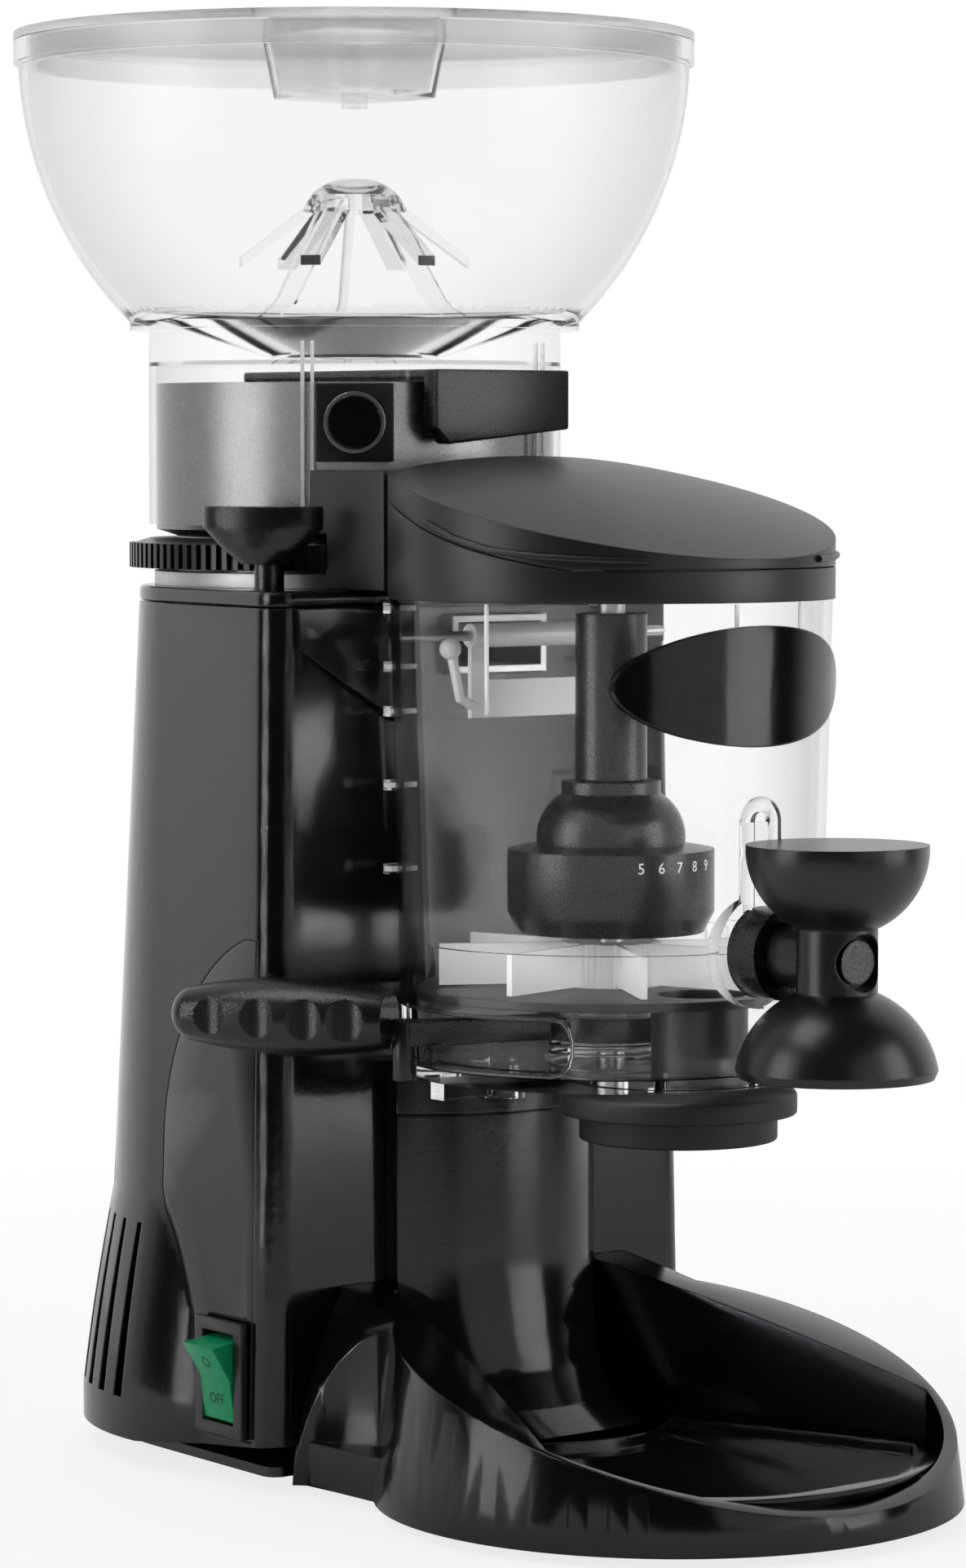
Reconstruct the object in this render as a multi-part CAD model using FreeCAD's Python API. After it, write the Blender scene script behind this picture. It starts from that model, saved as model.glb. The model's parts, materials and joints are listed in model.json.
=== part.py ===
import FreeCAD, Part
import math
import os

V = FreeCAD.Vector

# All sizes in millimetres. While modelling, x = y = 0 is the burr axis, the front is -y
# and z = 0 is the table. Every piece is moved by ROW_SHIFT when it is written.

# Clearances
FIT = 0.3                 # seated pieces and seams
RUN = 0.05                # radial gap of a shaft in its bearing
SLIDE = 0.6               # gap around pieces that travel

# Tower
TOWER_TOP = 263.0
SKIRT_REAR = 8.0          # lower edge at the rear
SKIRT_FRONT = 14.5        # lower edge at the front corners
TOP_HALF = 78.0           # half width of the front at the top
FOOT_HALF = 81.5          # half width of the front at the bottom
TOP_FRONT = 61.0          # front face ahead of the burr axis at the top
FOOT_FRONT = 63.5
TOP_REAR_R = 65.8         # round rear at the top
FOOT_REAR_R = 78.0
CORNER_R = 8.0
TOWER_WALL = 3.0
CAP_T = 4.6
BELL_TOP = 79.0           # the bell starts to flare here
BELL_INSET = 0.8          # foot of the bell inside the width of the bowl, each side
BELL_RIM = 10.0           # upright band at the foot of the bell
BELL_END = 93.0           # and sinks into the tower above that
BELL_SINK = 3.0
BELL_BULGE = 0.6          # how far the flare swells past a straight cone
BELL_FRONT = 30.0         # the bell ends this far ahead of the burr axis
VENTS = 4                 # slots on each side of the bell
VENT_FIRST = 97.0         # degrees round from the front
VENT_STEP = 8.0
VENT_W = 5.0
VENT_FOOT = 20.0
VENT_HEAD = 72.0
PANEL_T = 1.4
PANEL_FRONT = 53.5
PANEL_TOP = 161.5
PANEL_SHOULDER = 67.0     # height of the round shoulder
PANEL_REAR = 2.0          # rearmost line of the side panel, ahead of the burr axis
PANEL_FOOT = 15.0
PLATE_T = 3.0             # plate on the upper front face
PLATE_EDGE_Z = 246.0      # lower edge of that plate at the tower corners
PLATE_MID_Z = 224.5       # and behind the doser
PLATE_MID_HALF = 34.0

# Front column under the doser
COLUMN_HALF = 38.0
COLUMN_STEP = 5.0         # flat flank ahead of the tower front
COLUMN_BULGE = 17.5
COLUMN_TOP = 109.0
COLUMN_FLARE_Z = 66.0     # below this the column flares forwards
COLUMN_FLARE = 34.0       # extra bulge where it meets the bowl floor

# Base bowl
BASE_GAP = 3.0            # lower edge of the bowl above the table
BOWL_BACK = 61.0          # rear of the bowl's circle ahead of the burr axis
BOWL_R = 85.0
BOWL_LEAN = 7.0           # the wall leans in by this much up to the wing top
WING_TOP = 60.0           # top of the wings at the tower
WING_MID = 40.0           # beside the bowl centre
WING_FRONT = 10.5         # at the front lip
BASE_WALL = 3.0
ROOT_LEAN = 21.0          # root of the bowl is this much narrower at its top, each side
ROOT_SWELL = 4.2          # bulge of that leaning side at half height
BOWL_FLOOR = 12.0
BOWL_RIM = 6.0            # wall of the bowl at the front
WELL_SPREAD = 0.30        # the well widens by this much per millimetre towards the front
WAIST_HALF = 60.0         # narrowest part between tower and wings
WAIST_Y = 90.0
BRIDGE_HALF = 70.0        # low block that joins tower and wings
BRIDGE_TOP = 16.0
BOTTOM_T = 3.0
FOOT_R = 9.0
FRONT_FOOT_IN = 19.0      # front feet inside the bowl wall
FRONT_FOOT_BACK = 6.0     # and behind the bowl centre
REAR_FOOT_X = 48.0
REAR_FOOT_Y = 34.0
FOOT_BOSS_R = 7.0

# Drip tray
TRAY_T = 1.6
TRAY_H = 5.0
TRAY_GAP = 1.5            # between the tab and the bowl wall
TRAY_TAB = 5.5            # finger tab ahead of the round front
TRAY_TAB_SPAN = 43.0      # degrees of the tab to each side of the middle
TRAY_BACK = 107.0         # rear corners ahead of the burr axis
TRAY_BACK_HALF = 34.0
TRAY_HOLLOW = 17.0        # the rear edge curves in round the column foot
TRAY_LEAD = 40.0          # the straight sides end this far ahead of the bowl centre

# Switch on the left side
SWITCH_Y = 40.0
SWITCH_Z = 32.5
SWITCH_W = 25.0
SWITCH_H = 34.0
BEZEL_T = 2.4
ROCKER_W = 16.0
ROCKER_HALF_H = 12.6
ROCKER_RISE = 7.0         # proud end of the rocker
ROCKER_DEPTH = 6.0
ROCKER_TILT = 18.0        # stroke of the rocker in degrees
PIVOT_DEPTH = 2.5
PIVOT_R = 1.4
SWITCH_WALL = 1.5
SWITCH_OFF = 0.6          # frame off the leaning side at its middle
ROCKER_ROOM = 0.9         # room above and below the rocker

# Motor
SHAFT_R = 6.0
STATOR_R = 52.0
STATOR_BORE = 30.0
AIR_GAP = 0.6
STATOR_FOOT = 72.0
STATOR_H = 70.0
WINDING_H = 12.0
BRACKET_T = 6.0
BRACKET_GAP = 4.0         # brackets stand this far off the windings
BRACKET_R = 57.0
BEARING_R = 16.0
BEARING_H = 9.0
TIE_R = 2.5
FAN_R = 46.0
FAN_H = 13.0
FAN_BLADES = 9
GLAND_Z = 46.0
GLAND_R = 8.0

# Grinding head
CHAMBER_R = 57.5
CHAMBER_FOOT = 228.0
CHAMBER_FLOOR = 238.0
CHAMBER_BORE = 46.0
FLANGE_R = 61.3
FLANGE_T = 4.4
BURR_R = 30.0
BURR_EYE = 19.0
BURR_T = 6.0
BURR_GAP = 1.0
BURR_GROOVES = 20
BURR_SLANT = 25.0         # degrees off radial
LOWER_BURR_Z = 252.0
CARRIER_T = 5.0
CARRIER_R = 43.0
SWEEPERS = 4
THREAD_R = 54.5
RING_R = 69.0
RING_FOOT = 268.4
RING_T = 9.0
RING_TEETH = 110
TOOTH_DEPTH = 1.6
SLEEVE_DROP = 18.7        # top of the sleeve below the foot of the hopper bowl
SLEEVE_WALL = 3.5
FUNNEL_DROP = 28.0        # the funnel starts this far below the top of the sleeve
CHUTE_W = 32.0
CHUTE_H = 13.0
CHUTE_WALL = 2.0
STOP_X = 67.5             # press knob of the ring stop
STOP_Y = 43.0
STOP_LONG = 18.5
STOP_THICK = 8.2
STOP_TOP = 287.5
STOP_FOOT = 270.7
STOP_PIN_R = 4.4
STOP_PIN_IN = 5.0         # the pin stands this much nearer the burr axis than the knob
STOP_PIN_LOW = 236.0
STOP_GUIDE_H = 8.0
STOP_COLLAR_T = 2.4
SPRING_WIRE = 0.9
STOP_SPRING_TURNS = 6

# Hopper
NECK_R = 62.9
NECK_FOOT = 281.5
NECK_WALL = 2.0
BOWL_FOOT_R = 68.6
BOWL_FOOT_Z = 342.7
RIM_R = 103.5
RIM_Z = 427.0
LIP_H = 6.3
LIP_OVER = 1.4
HOPPER_WALL = 2.4
BOWL_SWELL = 8.0          # bulge of the bowl side past a straight cone
THROAT_R = 23.0
THROAT_DROP = 11.0
LID_EDGE = 2.6
LID_CROWN = 2.0
LID_PLUG = 7.0            # skirt of the lid inside the rim
POCKET_W = 46.0
POCKET_FOOT_W = 39.0
POCKET_DEEP = 19.0
LID_WALL = 2.0
GATE_T = 3.0
GATE_HALF = 24.0
GATE_BACK = 25.0
HANDLE_HALF = 25.5
HANDLE_T = 6.0
HANDLE_DROP = 19.0
HANDLE_RISE = 4.5         # its lower edge climbs by this much to the right
GUARD_TOP = 386.0
GUARD_CAP_R = 16.0
GUARD_CAP_H = 10.0
GUARD_ARMS = 6
GUARD_REACH = 35.0
GUARD_ARM_Z = 359.0
GUARD_FINS = 3
LOCK_TURN = -38.0         # direction of the lock knob, degrees round from the front
LOCK_DROP = 12.0          # lock knob below the top of the sleeve
LOCK_R = 9.0
LOCK_LONG = 7.5
LOCK_BLOCK_HALF = 11.5
LOCK_BLOCK_H = 23.0
LOCK_BLOCK_T = 4.0
LOCK_STEM_R = 3.0

# Doser
DOSER_Y = 120.3
CUP_TOP = 261.4
CUP_FOOT = 128.2
CUP_TOP_R = 63.9
CUP_FOOT_R = 60.6
CUP_WALL = 2.5
CUP_BACK = 66.8           # flat back wall ahead of the burr axis
RING_BAND_TOP = 163.0     # thick lower band of the cup
RING_BAND_T = 2.0
SLOT_FOOT = 130.2
SLOT_TOP = 144.4
SLOT_FRONT = 52.0         # slot ends, degrees round from the front, on the left
SLOT_REAR = 122.0
LUG_Z = (258.0, 241.0, 228.0, 206.5, 182.0)
LUG_REACH = 9.0
LUG_T = 3.0
BASE_PLATE_T = 3.6
RIB_HALF = 49.0           # clear rib under the base plate
RIB_Y = 98.0
RIB_T = 6.0
RIB_DEEP = 7.0
RIB_BOSS_X = 24.0
RIB_BOSS_R = 6.0
RIB_BOSS_BORE = 3.4
STAR_FLOOR_Z = 147.0
STAR_FLOOR_T = 2.6
STAR_R = 55.0
STAR_VANES = 8
STAR_TOP = 162.0
STAR_FOOT = 131.2
VANE_T = 1.8
HUB_R = 14.5
FLUTES = 12
FLUTE_R = 2.0
STAR_SHAFT_R = 4.0
COLUMN_R = 10.4
COLUMN_HEAD = 257.0
CONE_H = 43.6
CONE_NECK_R = 14.4
CONE_R = 30.0
CONE_STEP_R = 21.5        # dome that stands on the cone's shoulder
CONE_STEP_H = 25.5        # height of the shoulder
CONE_FOOT = 165.0
BRIDGE_H = 4.0
COLLAR_R = 64.6
COLLAR_WALL = 2.6
COLLAR_BACK = 4.8         # thicker wall beside the toothed ring
SEAM_FRONT_Z = 270.5      # lid seam at the front
SEAM_BEND_Y = 160.0       # ahead of this the seam is level
SEAM_MID_Y = 137.0
SEAM_MID_Z = 275.3
SEAM_REAR_Z = 290.3
LID_BACK = 83.0           # rear edge of the doser lid ahead of the burr axis
LID_BACK_Z = 304.0        # rim plane of the lid over the back of the doser
LID_FRONT_Z = 273.5       # and at its front
LID_DOME = 7.0
DOSER_LID_WALL = 2.4
HOOD_HALF = 50.0
HOOD_BACK = 42.5
HOOD_TOP = 298.0
HOOD_WALL = 2.5
HINGE_R = 2.2
HINGE_PIN_R = 1.0
HINGE_OUT = 30.0
HINGE_IN = 20.0
BADGE_HALF = 42.0
BADGE_HALF_H = 17.0
BADGE_Z = 238.0
BADGE_T = 1.8
FLAP_HALF = 24.0
FLAP_Z = 226.0
FLAP_H = 11.0
FLAP_T = 1.6
FLAP_PIN_Z = 250.0
FLAP_Y = 84.0
FLAP_PIN_R = 1.5
LEVER_TURN = -105.0       # lever arm at rest, degrees round from the front
ARM_Z = 138.0
ARM_OUT = 4.6             # post of the lever outside the cup
ARM_H = 7.0
ARM_W = 8.0
TANG_R = 3.2
LEVER_RING_R = 21.5
GRIP_ROOT = (-66.5, -101.0)
GRIP_TIP = (-99.0, -50.5)
GRIP_Z = 142.0
GRIP_R = 11.2             # thickest, half way along
GRIP_ROOT_R = 8.4
GRIP_TIP_R = 7.8
GRIP_CAP = 5.5            # rounded end past the tip
SCALLOPS = (0.16, 0.37, 0.62, 0.88)  # finger hollows, as shares of the grip
SCALLOP_R = 9.0
SCALLOP_DEEP = 1.6
RETURN_SPRING_R = 17.6
RETURN_SPRING_TURNS = 2
RETURN_WIRE = 1.0
SPOUT_Y = 150.0
SPOUT_FLANGE_R = 34.0
SPOUT_FLANGE_Z = 115.0
SPOUT_FLANGE_T = 6.0
SPOUT_LIP_R = 28.4
SPOUT_LIP_Z = 107.5
SPOUT_BORE = 24.0
OUTLET_R = 12.0
OUTLET_Y = 158.5
OUTLET_WALL = 1.6

# Tamper ahead of the doser
TAMPER_Y = 216.0
TAMPER_FOOT = 131.0
TAMPER_TOP = 195.5
TAMPER_TOP_R = 25.4
TAMPER_FOOT_R = 28.1
TAMPER_EDGE = 2.4
TAMPER_Z = 163.5
TAMPER_WAIST = 11.3
WAIST_HALF_H = 9.0
DOME_SWELL = 3.4          # how far the two domes swell past a straight cone
TAMPER_HUB_R = 9.0
STUB_R = 13.0
STUB_PIN_R = 5.0
STUB_FRONT = 196.0
STUB_SEAT = 2.0           # depth of the pin in the bracket
BOSS_R = 16.0
BOSS_FRONT = 185.0
LOOP_TOP = 205.0
LOOP_HALF = 5.0
LOOP_R = 2.2
LOOP_OUT = 3.5            # loop rods ahead of the cup foot
CAP_SCREW_R = 6.2
CAP_SCREW_T = 3.0
RECESS_R = 8.0            # round hole in front of the screw
RECESS_DEEP = 6.0

# Derived places
CAP_FOOT = TOWER_TOP - CAP_T
BOWL_Y = BOWL_BACK + BOWL_R
FRONT_FOOT_X = BOWL_R - FRONT_FOOT_IN
FRONT_FOOT_Y = BOWL_Y - FRONT_FOOT_BACK
TRAY_R = BOWL_R - BOWL_RIM - TRAY_TAB - TRAY_GAP
BELL_R = BOWL_R - BELL_INSET
SLEEVE_TOP = BOWL_FOOT_Z - SLEEVE_DROP
BEAN_FLOOR = SLEEVE_TOP - FUNNEL_DROP
LOCK_Z = SLEEVE_TOP - LOCK_DROP
CONE_TOP = CONE_FOOT + CONE_H
FLANGE_TOP = TOWER_TOP + FLANGE_T
SLEEVE_R = NECK_R - NECK_WALL - FIT
LOWER_BURR_TOP = LOWER_BURR_Z + BURR_T
UPPER_BURR_Z = LOWER_BURR_TOP + BURR_GAP
UPPER_BURR_TOP = UPPER_BURR_Z + BURR_T
LID_TOP = RIM_Z + FIT + LID_EDGE
GATE_Z = SLEEVE_TOP + SLIDE
STATOR_TOP = STATOR_FOOT + STATOR_H
LOWER_BRACKET_Z = STATOR_FOOT - WINDING_H - BRACKET_GAP - BRACKET_T
TIE_PCR = STATOR_R + TIE_R - 1.0
FRONT_REACH = TAMPER_Y + TAMPER_FOOT_R
ROW_SHIFT = V(0.0, (FRONT_REACH - RIM_R) / 2.0, 0.0)
FAR = 400.0


def cylinder(r, z0, z1, x=0.0, y=0.0):
    return Part.makeCylinder(r, z1 - z0, V(x, y, z0))


def tube(outer, inner, z0, z1, x=0.0, y=0.0):
    return cylinder(outer, z0, z1, x, y).cut(cylinder(inner, z0 - 1.0, z1 + 1.0, x, y))


def cone(r0, r1, z0, z1, x=0.0, y=0.0):
    return Part.makeCone(r0, r1, z1 - z0, V(x, y, z0))


def block(x0, x1, y0, y1, z0, z1):
    return Part.makeBox(x1 - x0, y1 - y0, z1 - z0, V(x0, y0, z0))


def rod(r, start, end):
    axis = end - start
    return Part.makeCylinder(r, axis.Length, start, axis)


def outline(start, *steps):
    """Closed face from points; a (middle, end) pair is an arc."""
    edges = []
    here = start
    for step in steps:
        if isinstance(step, tuple):
            middle, end = step
            edges.append(Part.Arc(here, middle, end).toShape())
        else:
            end = step
            edges.append(Part.makeLine(here, end))
        here = end
    if here.distanceToPoint(start) > 1e-6:
        edges.append(Part.makeLine(here, start))
    return Part.Face(Part.Wire(edges))


def rz(r, z):
    return V(r, 0.0, z)


def lathe(face, x=0.0, y=0.0):
    solid = face.revolve(V(0, 0, 0), V(0, 0, 1), 360)
    solid.translate(V(x, y, 0.0))
    return solid


def yz(y, z):
    return V(0.0, y, z)


def across(face, x0, x1):
    """Extrude a face drawn in the y-z plane from x0 to x1."""
    solid = face.extrude(V(x1 - x0, 0, 0))
    solid.translate(V(x0, 0, 0))
    return solid


def fused(shapes):
    whole = shapes[0].multiFuse(shapes[1:])
    return whole.removeSplitter()


def turned(shape, degrees, x=0.0, y=0.0):
    copy = shape.copy()
    copy.rotate(V(x, y, 0), V(0, 0, 1), degrees)
    return copy


def around(shape, count, x=0.0, y=0.0):
    return [turned(shape, 360.0 * k / count, x, y) for k in range(count)]


def heading(degrees):
    """Unit vector in plan; 0 degrees is the front, negative is the left."""
    a = math.radians(degrees)
    return V(math.sin(a), -math.cos(a), 0.0)


def save(name, *solids):
    """Write one node; several solids make a group."""
    if len(solids) == 1:
        shape = solids[0].copy()
    else:
        shape = Part.makeCompound([s.copy() for s in solids])
    shape.translate(ROW_SHIFT)
    shape.exportStep("parts/" + name + ".step")
    print(name, len(shape.Solids), round(shape.Volume / 1000.0, 2), shape.isValid())


# Tower


def tower_at(z):
    """Half width, front and rear radius of the tower at a height."""
    t = (z - SKIRT_REAR) / (TOWER_TOP - SKIRT_REAR)
    half = FOOT_HALF + (TOP_HALF - FOOT_HALF) * t
    front = FOOT_FRONT + (TOP_FRONT - FOOT_FRONT) * t
    rear = FOOT_REAR_R + (TOP_REAR_R - FOOT_REAR_R) * t
    return half, front, rear


def side_tangent(half, front, rear):
    """Point where the right side meets the round rear."""
    reach = math.hypot(half, front)
    length = math.sqrt(reach ** 2 - rear ** 2)
    k = rear / reach ** 2
    return V(k * (rear * half + length * front), k * (length * half - rear * front), 0.0)


def tower_section(z, inset):
    half, front, rear = tower_at(z)
    half -= inset
    front -= inset
    rear -= inset
    radius = CORNER_R - inset
    touch = side_tangent(half, front, rear)
    corner = V(half, -front, 0.0)
    along = (touch - corner).normalize()
    inward = V(-1.0, 0.0, 0.0)
    bisector = (along + inward).normalize()
    beta = along.getAngle(inward) / 2.0
    run = radius / math.tan(beta)
    first = corner + inward * run
    middle = corner + bisector * (radius / math.sin(beta) - radius)
    last = corner + along * run

    def right(p):
        return V(p.x, p.y, z)

    def left(p):
        return V(-p.x, p.y, z)

    edges = [
        Part.makeLine(left(first), right(first)),
        Part.Arc(right(first), right(middle), right(last)).toShape(),
        Part.makeLine(right(last), right(touch)),
        Part.Arc(right(touch), V(0, rear, z), left(touch)).toShape(),
        Part.makeLine(left(touch), left(last)),
        Part.Arc(left(last), left(middle), left(first)).toShape(),
    ]
    return Part.Wire(edges)


def tower_block(inset):
    sections = [tower_section(SKIRT_REAR, inset), tower_section(TOWER_TOP, inset)]
    return Part.makeLoft(sections, True, True)


def bell_block(inset):
    rear = tower_at(BELL_TOP)[2]
    rim_z = SKIRT_REAR + BELL_RIM
    mid_r = (BELL_R + rear) / 2.0 + BELL_BULGE
    mid_z = (rim_z + BELL_TOP) / 2.0
    face = outline(rz(0, SKIRT_REAR), rz(BELL_R - inset, SKIRT_REAR), rz(BELL_R - inset, rim_z),
                   (rz(mid_r - inset, mid_z), rz(rear - BELL_SINK - inset, BELL_END)), rz(0, BELL_END))
    keep = block(-FAR, FAR, inset - BELL_FRONT, FAR, 0.0, FAR)
    return lathe(face).common(keep)


def skirt_cut():
    face = outline(yz(-FAR, SKIRT_FRONT + (FAR - FOOT_FRONT) * (SKIRT_FRONT - SKIRT_REAR) / FOOT_FRONT),
                   yz(0, SKIRT_REAR), yz(FAR, SKIRT_REAR), yz(FAR, -1.0), yz(-FAR, -1.0))
    return across(face, -FAR, FAR)


def arch_face(grow):
    """Side panel outline: level top, a round shoulder, then along the bell."""
    rear = PANEL_REAR - grow
    shoulder_y = PANEL_FRONT - 6.0
    shoulder_foot = PANEL_TOP - PANEL_SHOULDER
    return outline(yz(-PANEL_FRONT - grow, PANEL_FOOT - grow), yz(-PANEL_FRONT - grow, PANEL_TOP + grow),
                   yz(-shoulder_y, PANEL_TOP + grow),
                   (yz(-rear - 15.0, PANEL_TOP - 20.0 + grow), yz(-rear, shoulder_foot)),
                   yz(-rear, BELL_TOP + 5.0), yz(-BELL_FRONT + grow, PANEL_FOOT - grow))


def panel(side, depth, grow, bell_gap):
    skin = tower_block(0.0).cut(tower_block(depth))
    prism = across(arch_face(grow), 0.0, side * FAR)
    return skin.common(prism).cut(bell_block(-bell_gap))


def vent(side, number):
    """Tall slot through the bell, narrower at its head."""
    taper = VENT_W * 0.25
    face = outline(V(-VENT_W / 2, 0, VENT_FOOT), V(VENT_W / 2, 0, VENT_FOOT), V(taper, 0, VENT_HEAD),
                   V(-taper, 0, VENT_HEAD))
    slot = face.extrude(V(0, -FAR, 0))
    slot.translate(V(0, -BELL_R * 0.7, 0))
    return turned(slot, side * (VENT_FIRST + VENT_STEP * number))


def side_frame():
    """Lean of the left side at the switch and the point of the switch centre on it."""
    half, front, rear = tower_at(SWITCH_Z)
    touch = side_tangent(half, front, rear)
    lean = math.atan2(half - touch.x, touch.y + front)
    x = half - (front - SWITCH_Y) * math.tan(lean) + SWITCH_OFF
    return math.degrees(lean), V(-x, -SWITCH_Y, SWITCH_Z)


def on_side(shape):
    """Move a piece drawn with its face at x = 0, outwards -x, onto the left side."""
    lean, centre = side_frame()
    placed = shape.copy()
    placed.rotate(V(0, 0, 0), V(0, 0, 1), -lean)
    placed.translate(centre)
    return placed


def rocker_window():
    half, high = switch_hole()
    grow = SWITCH_WALL + FIT
    wide = half + grow
    tall = high + grow
    return on_side(block(-FAR / 10, ROCKER_DEPTH + 2.0, -wide, wide, -tall, tall))


def switch_hole():
    return ROCKER_W / 2 + FIT, ROCKER_HALF_H + ROCKER_ROOM


def chute_box(grow):
    half = CHUTE_W / 2 + grow
    z0 = CHAMBER_FLOOR + CHUTE_WALL + FIT
    back = -CHAMBER_BORE + 8.0
    return block(-half, half, -CUP_BACK - CUP_WALL, back, z0 - grow, z0 + CHUTE_H + grow)


def tower_shell():
    shell = tower_block(0.0).fuse(bell_block(0.0))
    shell = shell.cut(tower_block(TOWER_WALL).fuse(bell_block(TOWER_WALL)))
    shell = shell.common(block(-FAR, FAR, -FAR, FAR, 0.0, CAP_FOOT - FIT))
    shell = shell.cut(skirt_cut())
    for side in (-1, 1):
        shell = shell.cut(panel(side, PANEL_T + FIT, FIT, FIT))
        for number in range(VENTS):
            shell = shell.cut(vent(side, number))
    shell = shell.cut(rocker_window())
    shell = shell.cut(chute_box(CHUTE_WALL + FIT))
    return shell.cut(rod(GLAND_R + FIT, V(0, BELL_R * 0.6, GLAND_Z), V(0, FAR, GLAND_Z)))


def tower_cap():
    cap = tower_block(0.0).common(block(-FAR, FAR, -FAR, FAR, CAP_FOOT, TOWER_TOP))
    cap = cap.cut(cylinder(CHAMBER_R + FIT, 0.0, FAR))
    pin = stop_pin_place()
    return cap.cut(cylinder(STOP_PIN_R + RUN, 0.0, FAR, pin.x, pin.y))


def side_panel(side):
    return panel(side, PANEL_T, 0.0, 2 * FIT)


def front_plate():
    half = TOP_HALF - CORNER_R
    face = outline(V(-half, 0, CAP_FOOT - FIT), V(half, 0, CAP_FOOT - FIT), V(half, 0, PLATE_EDGE_Z),
                   V(PLATE_MID_HALF, 0, PLATE_MID_Z), V(-PLATE_MID_HALF, 0, PLATE_MID_Z),
                   V(-half, 0, PLATE_EDGE_Z))
    plate = face.extrude(V(0, -PLATE_T - CORNER_R, 0))
    plate.translate(V(0, CORNER_R - TOP_FRONT, 0))
    plate = plate.cut(tower_block(0.0))
    return plate.cut(chute_box(CHUTE_WALL + FIT))


def column_wire(z, bulge):
    front = tower_at(z)[1] + FIT
    flank = FOOT_FRONT + COLUMN_STEP
    edges = [
        Part.makeLine(V(-COLUMN_HALF, -front, z), V(COLUMN_HALF, -front, z)),
        Part.makeLine(V(COLUMN_HALF, -front, z), V(COLUMN_HALF, -flank, z)),
        Part.Arc(V(COLUMN_HALF, -flank, z), V(0, -flank - bulge, z), V(-COLUMN_HALF, -flank, z)).toShape(),
        Part.makeLine(V(-COLUMN_HALF, -flank, z), V(-COLUMN_HALF, -front, z)),
    ]
    return Part.Wire(edges)


def front_column():
    """Upright shaft with a foot that sweeps forwards over the bowl floor."""
    steps = 5
    foot = BOWL_FLOOR
    wires = []
    for k in range(steps + 1):
        t = k / steps
        extra = COLUMN_FLARE * (1.0 - math.sqrt(1.0 - (1.0 - t) ** 2))
        wires.append(column_wire(foot + (COLUMN_FLARE_Z - foot) * t, COLUMN_BULGE + extra))
    flare = Part.makeLoft(wires, True, True)
    shaft = Part.makeLoft([wires[-1], column_wire(COLUMN_TOP, COLUMN_BULGE)], True, True)
    return flare.fuse(shaft).removeSplitter()


# Base


def wing_profile(drop):
    """Everything above the swept top line of the wings."""
    tower = -FOOT_FRONT
    tip = -BOWL_Y - BOWL_R - 2.0
    middle = yz(-BOWL_Y, WING_MID - drop)
    face = outline(yz(tower + 2.0, WING_TOP - drop), (middle, yz(tip, WING_FRONT - drop)), yz(tip, FAR),
                   yz(tower + 2.0, FAR))
    return across(face, -FAR, FAR)


def root_limit(half, foot, top):
    """Everything between the swelling, leaning sides of the root of the bowl."""
    high = half - ROOT_LEAN
    middle = half - ROOT_LEAN / 2 + ROOT_SWELL
    z = (foot + top) / 2
    face = outline(V(half, 0, foot), (V(middle, 0, z), V(high, 0, top)), V(-high, 0, top),
                   (V(-middle, 0, z), V(-half, 0, foot)))
    return face.extrude(V(0, -FAR, 0))


def base_block(inset):
    """Round bowl joined to the tower by a waist and a low bridge."""
    top = BASE_GAP + WING_TOP
    foot = BASE_GAP - inset
    bowl = cone(BOWL_R - inset, BOWL_R - BOWL_LEAN - inset, foot, top, 0.0, -BOWL_Y)
    back = -FOOT_FRONT - FIT - inset
    root = FOOT_HALF - CORNER_R - inset
    waist = WAIST_HALF - inset
    inner = -BOWL_Y + 20.0
    right_waist = V(waist, -WAIST_Y, foot)
    left_waist = V(-waist, -WAIST_Y, foot)
    face = outline(V(-root, back, foot), V(root, back, foot), (right_waist, V(root, inner, foot)),
                   V(-root, inner, foot), (left_waist, V(-root, back, foot)))
    neck = face.extrude(V(0, 0, top - foot)).common(root_limit(root, foot, top))
    low = block(inset - BRIDGE_HALF, BRIDGE_HALF - inset, -BOWL_Y + 30.0, back, foot, BRIDGE_TOP - inset)
    whole = bowl.fuse(neck).cut(wing_profile(inset))
    return whole.fuse(low).common(ahead(FOOT_FRONT + FIT + inset))


def well_block(grow):
    """Open well of the bowl, narrow at the column and wide at the front."""
    back = FOOT_FRONT
    front = BOWL_Y + BOWL_R
    narrow = COLUMN_HALF + FIT + grow
    wide = narrow + WELL_SPREAD * (front - back)
    floor = BOWL_FLOOR - grow
    face = outline(V(-narrow, -back + grow, floor), V(narrow, -back + grow, floor), V(wide, -front, floor),
                   V(-wide, -front, floor))
    wedge = face.extrude(V(0, 0, FAR))
    return wedge.common(cylinder(BOWL_R - BOWL_RIM + grow, floor, FAR, 0.0, -BOWL_Y).fuse(
        block(-FAR, FAR, -BOWL_Y, FAR, floor, FAR)))


def base_shell():
    hollow = base_block(BASE_WALL).cut(well_block(BASE_WALL))
    shell = base_block(0.0).cut(well_block(0.0)).cut(hollow)
    for side in (-1, 1):
        boss = cylinder(FOOT_BOSS_R, foot_top(), FAR / 2, side * FRONT_FOOT_X, -FRONT_FOOT_Y)
        shell = shell.fuse(boss.common(base_block(BASE_WALL / 2).cut(well_block(BASE_WALL / 2))))
    half = COLUMN_HALF + FIT
    notch = block(-half, half, -FOOT_FRONT - 2 * BASE_WALL, 0.0, 0.0, bottom_z() + BOTTOM_T + FIT)
    return shell.cut(notch).removeSplitter()


def foot_top():
    return BASE_GAP + FIT


def bottom_z():
    return SKIRT_REAR - BOTTOM_T


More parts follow.
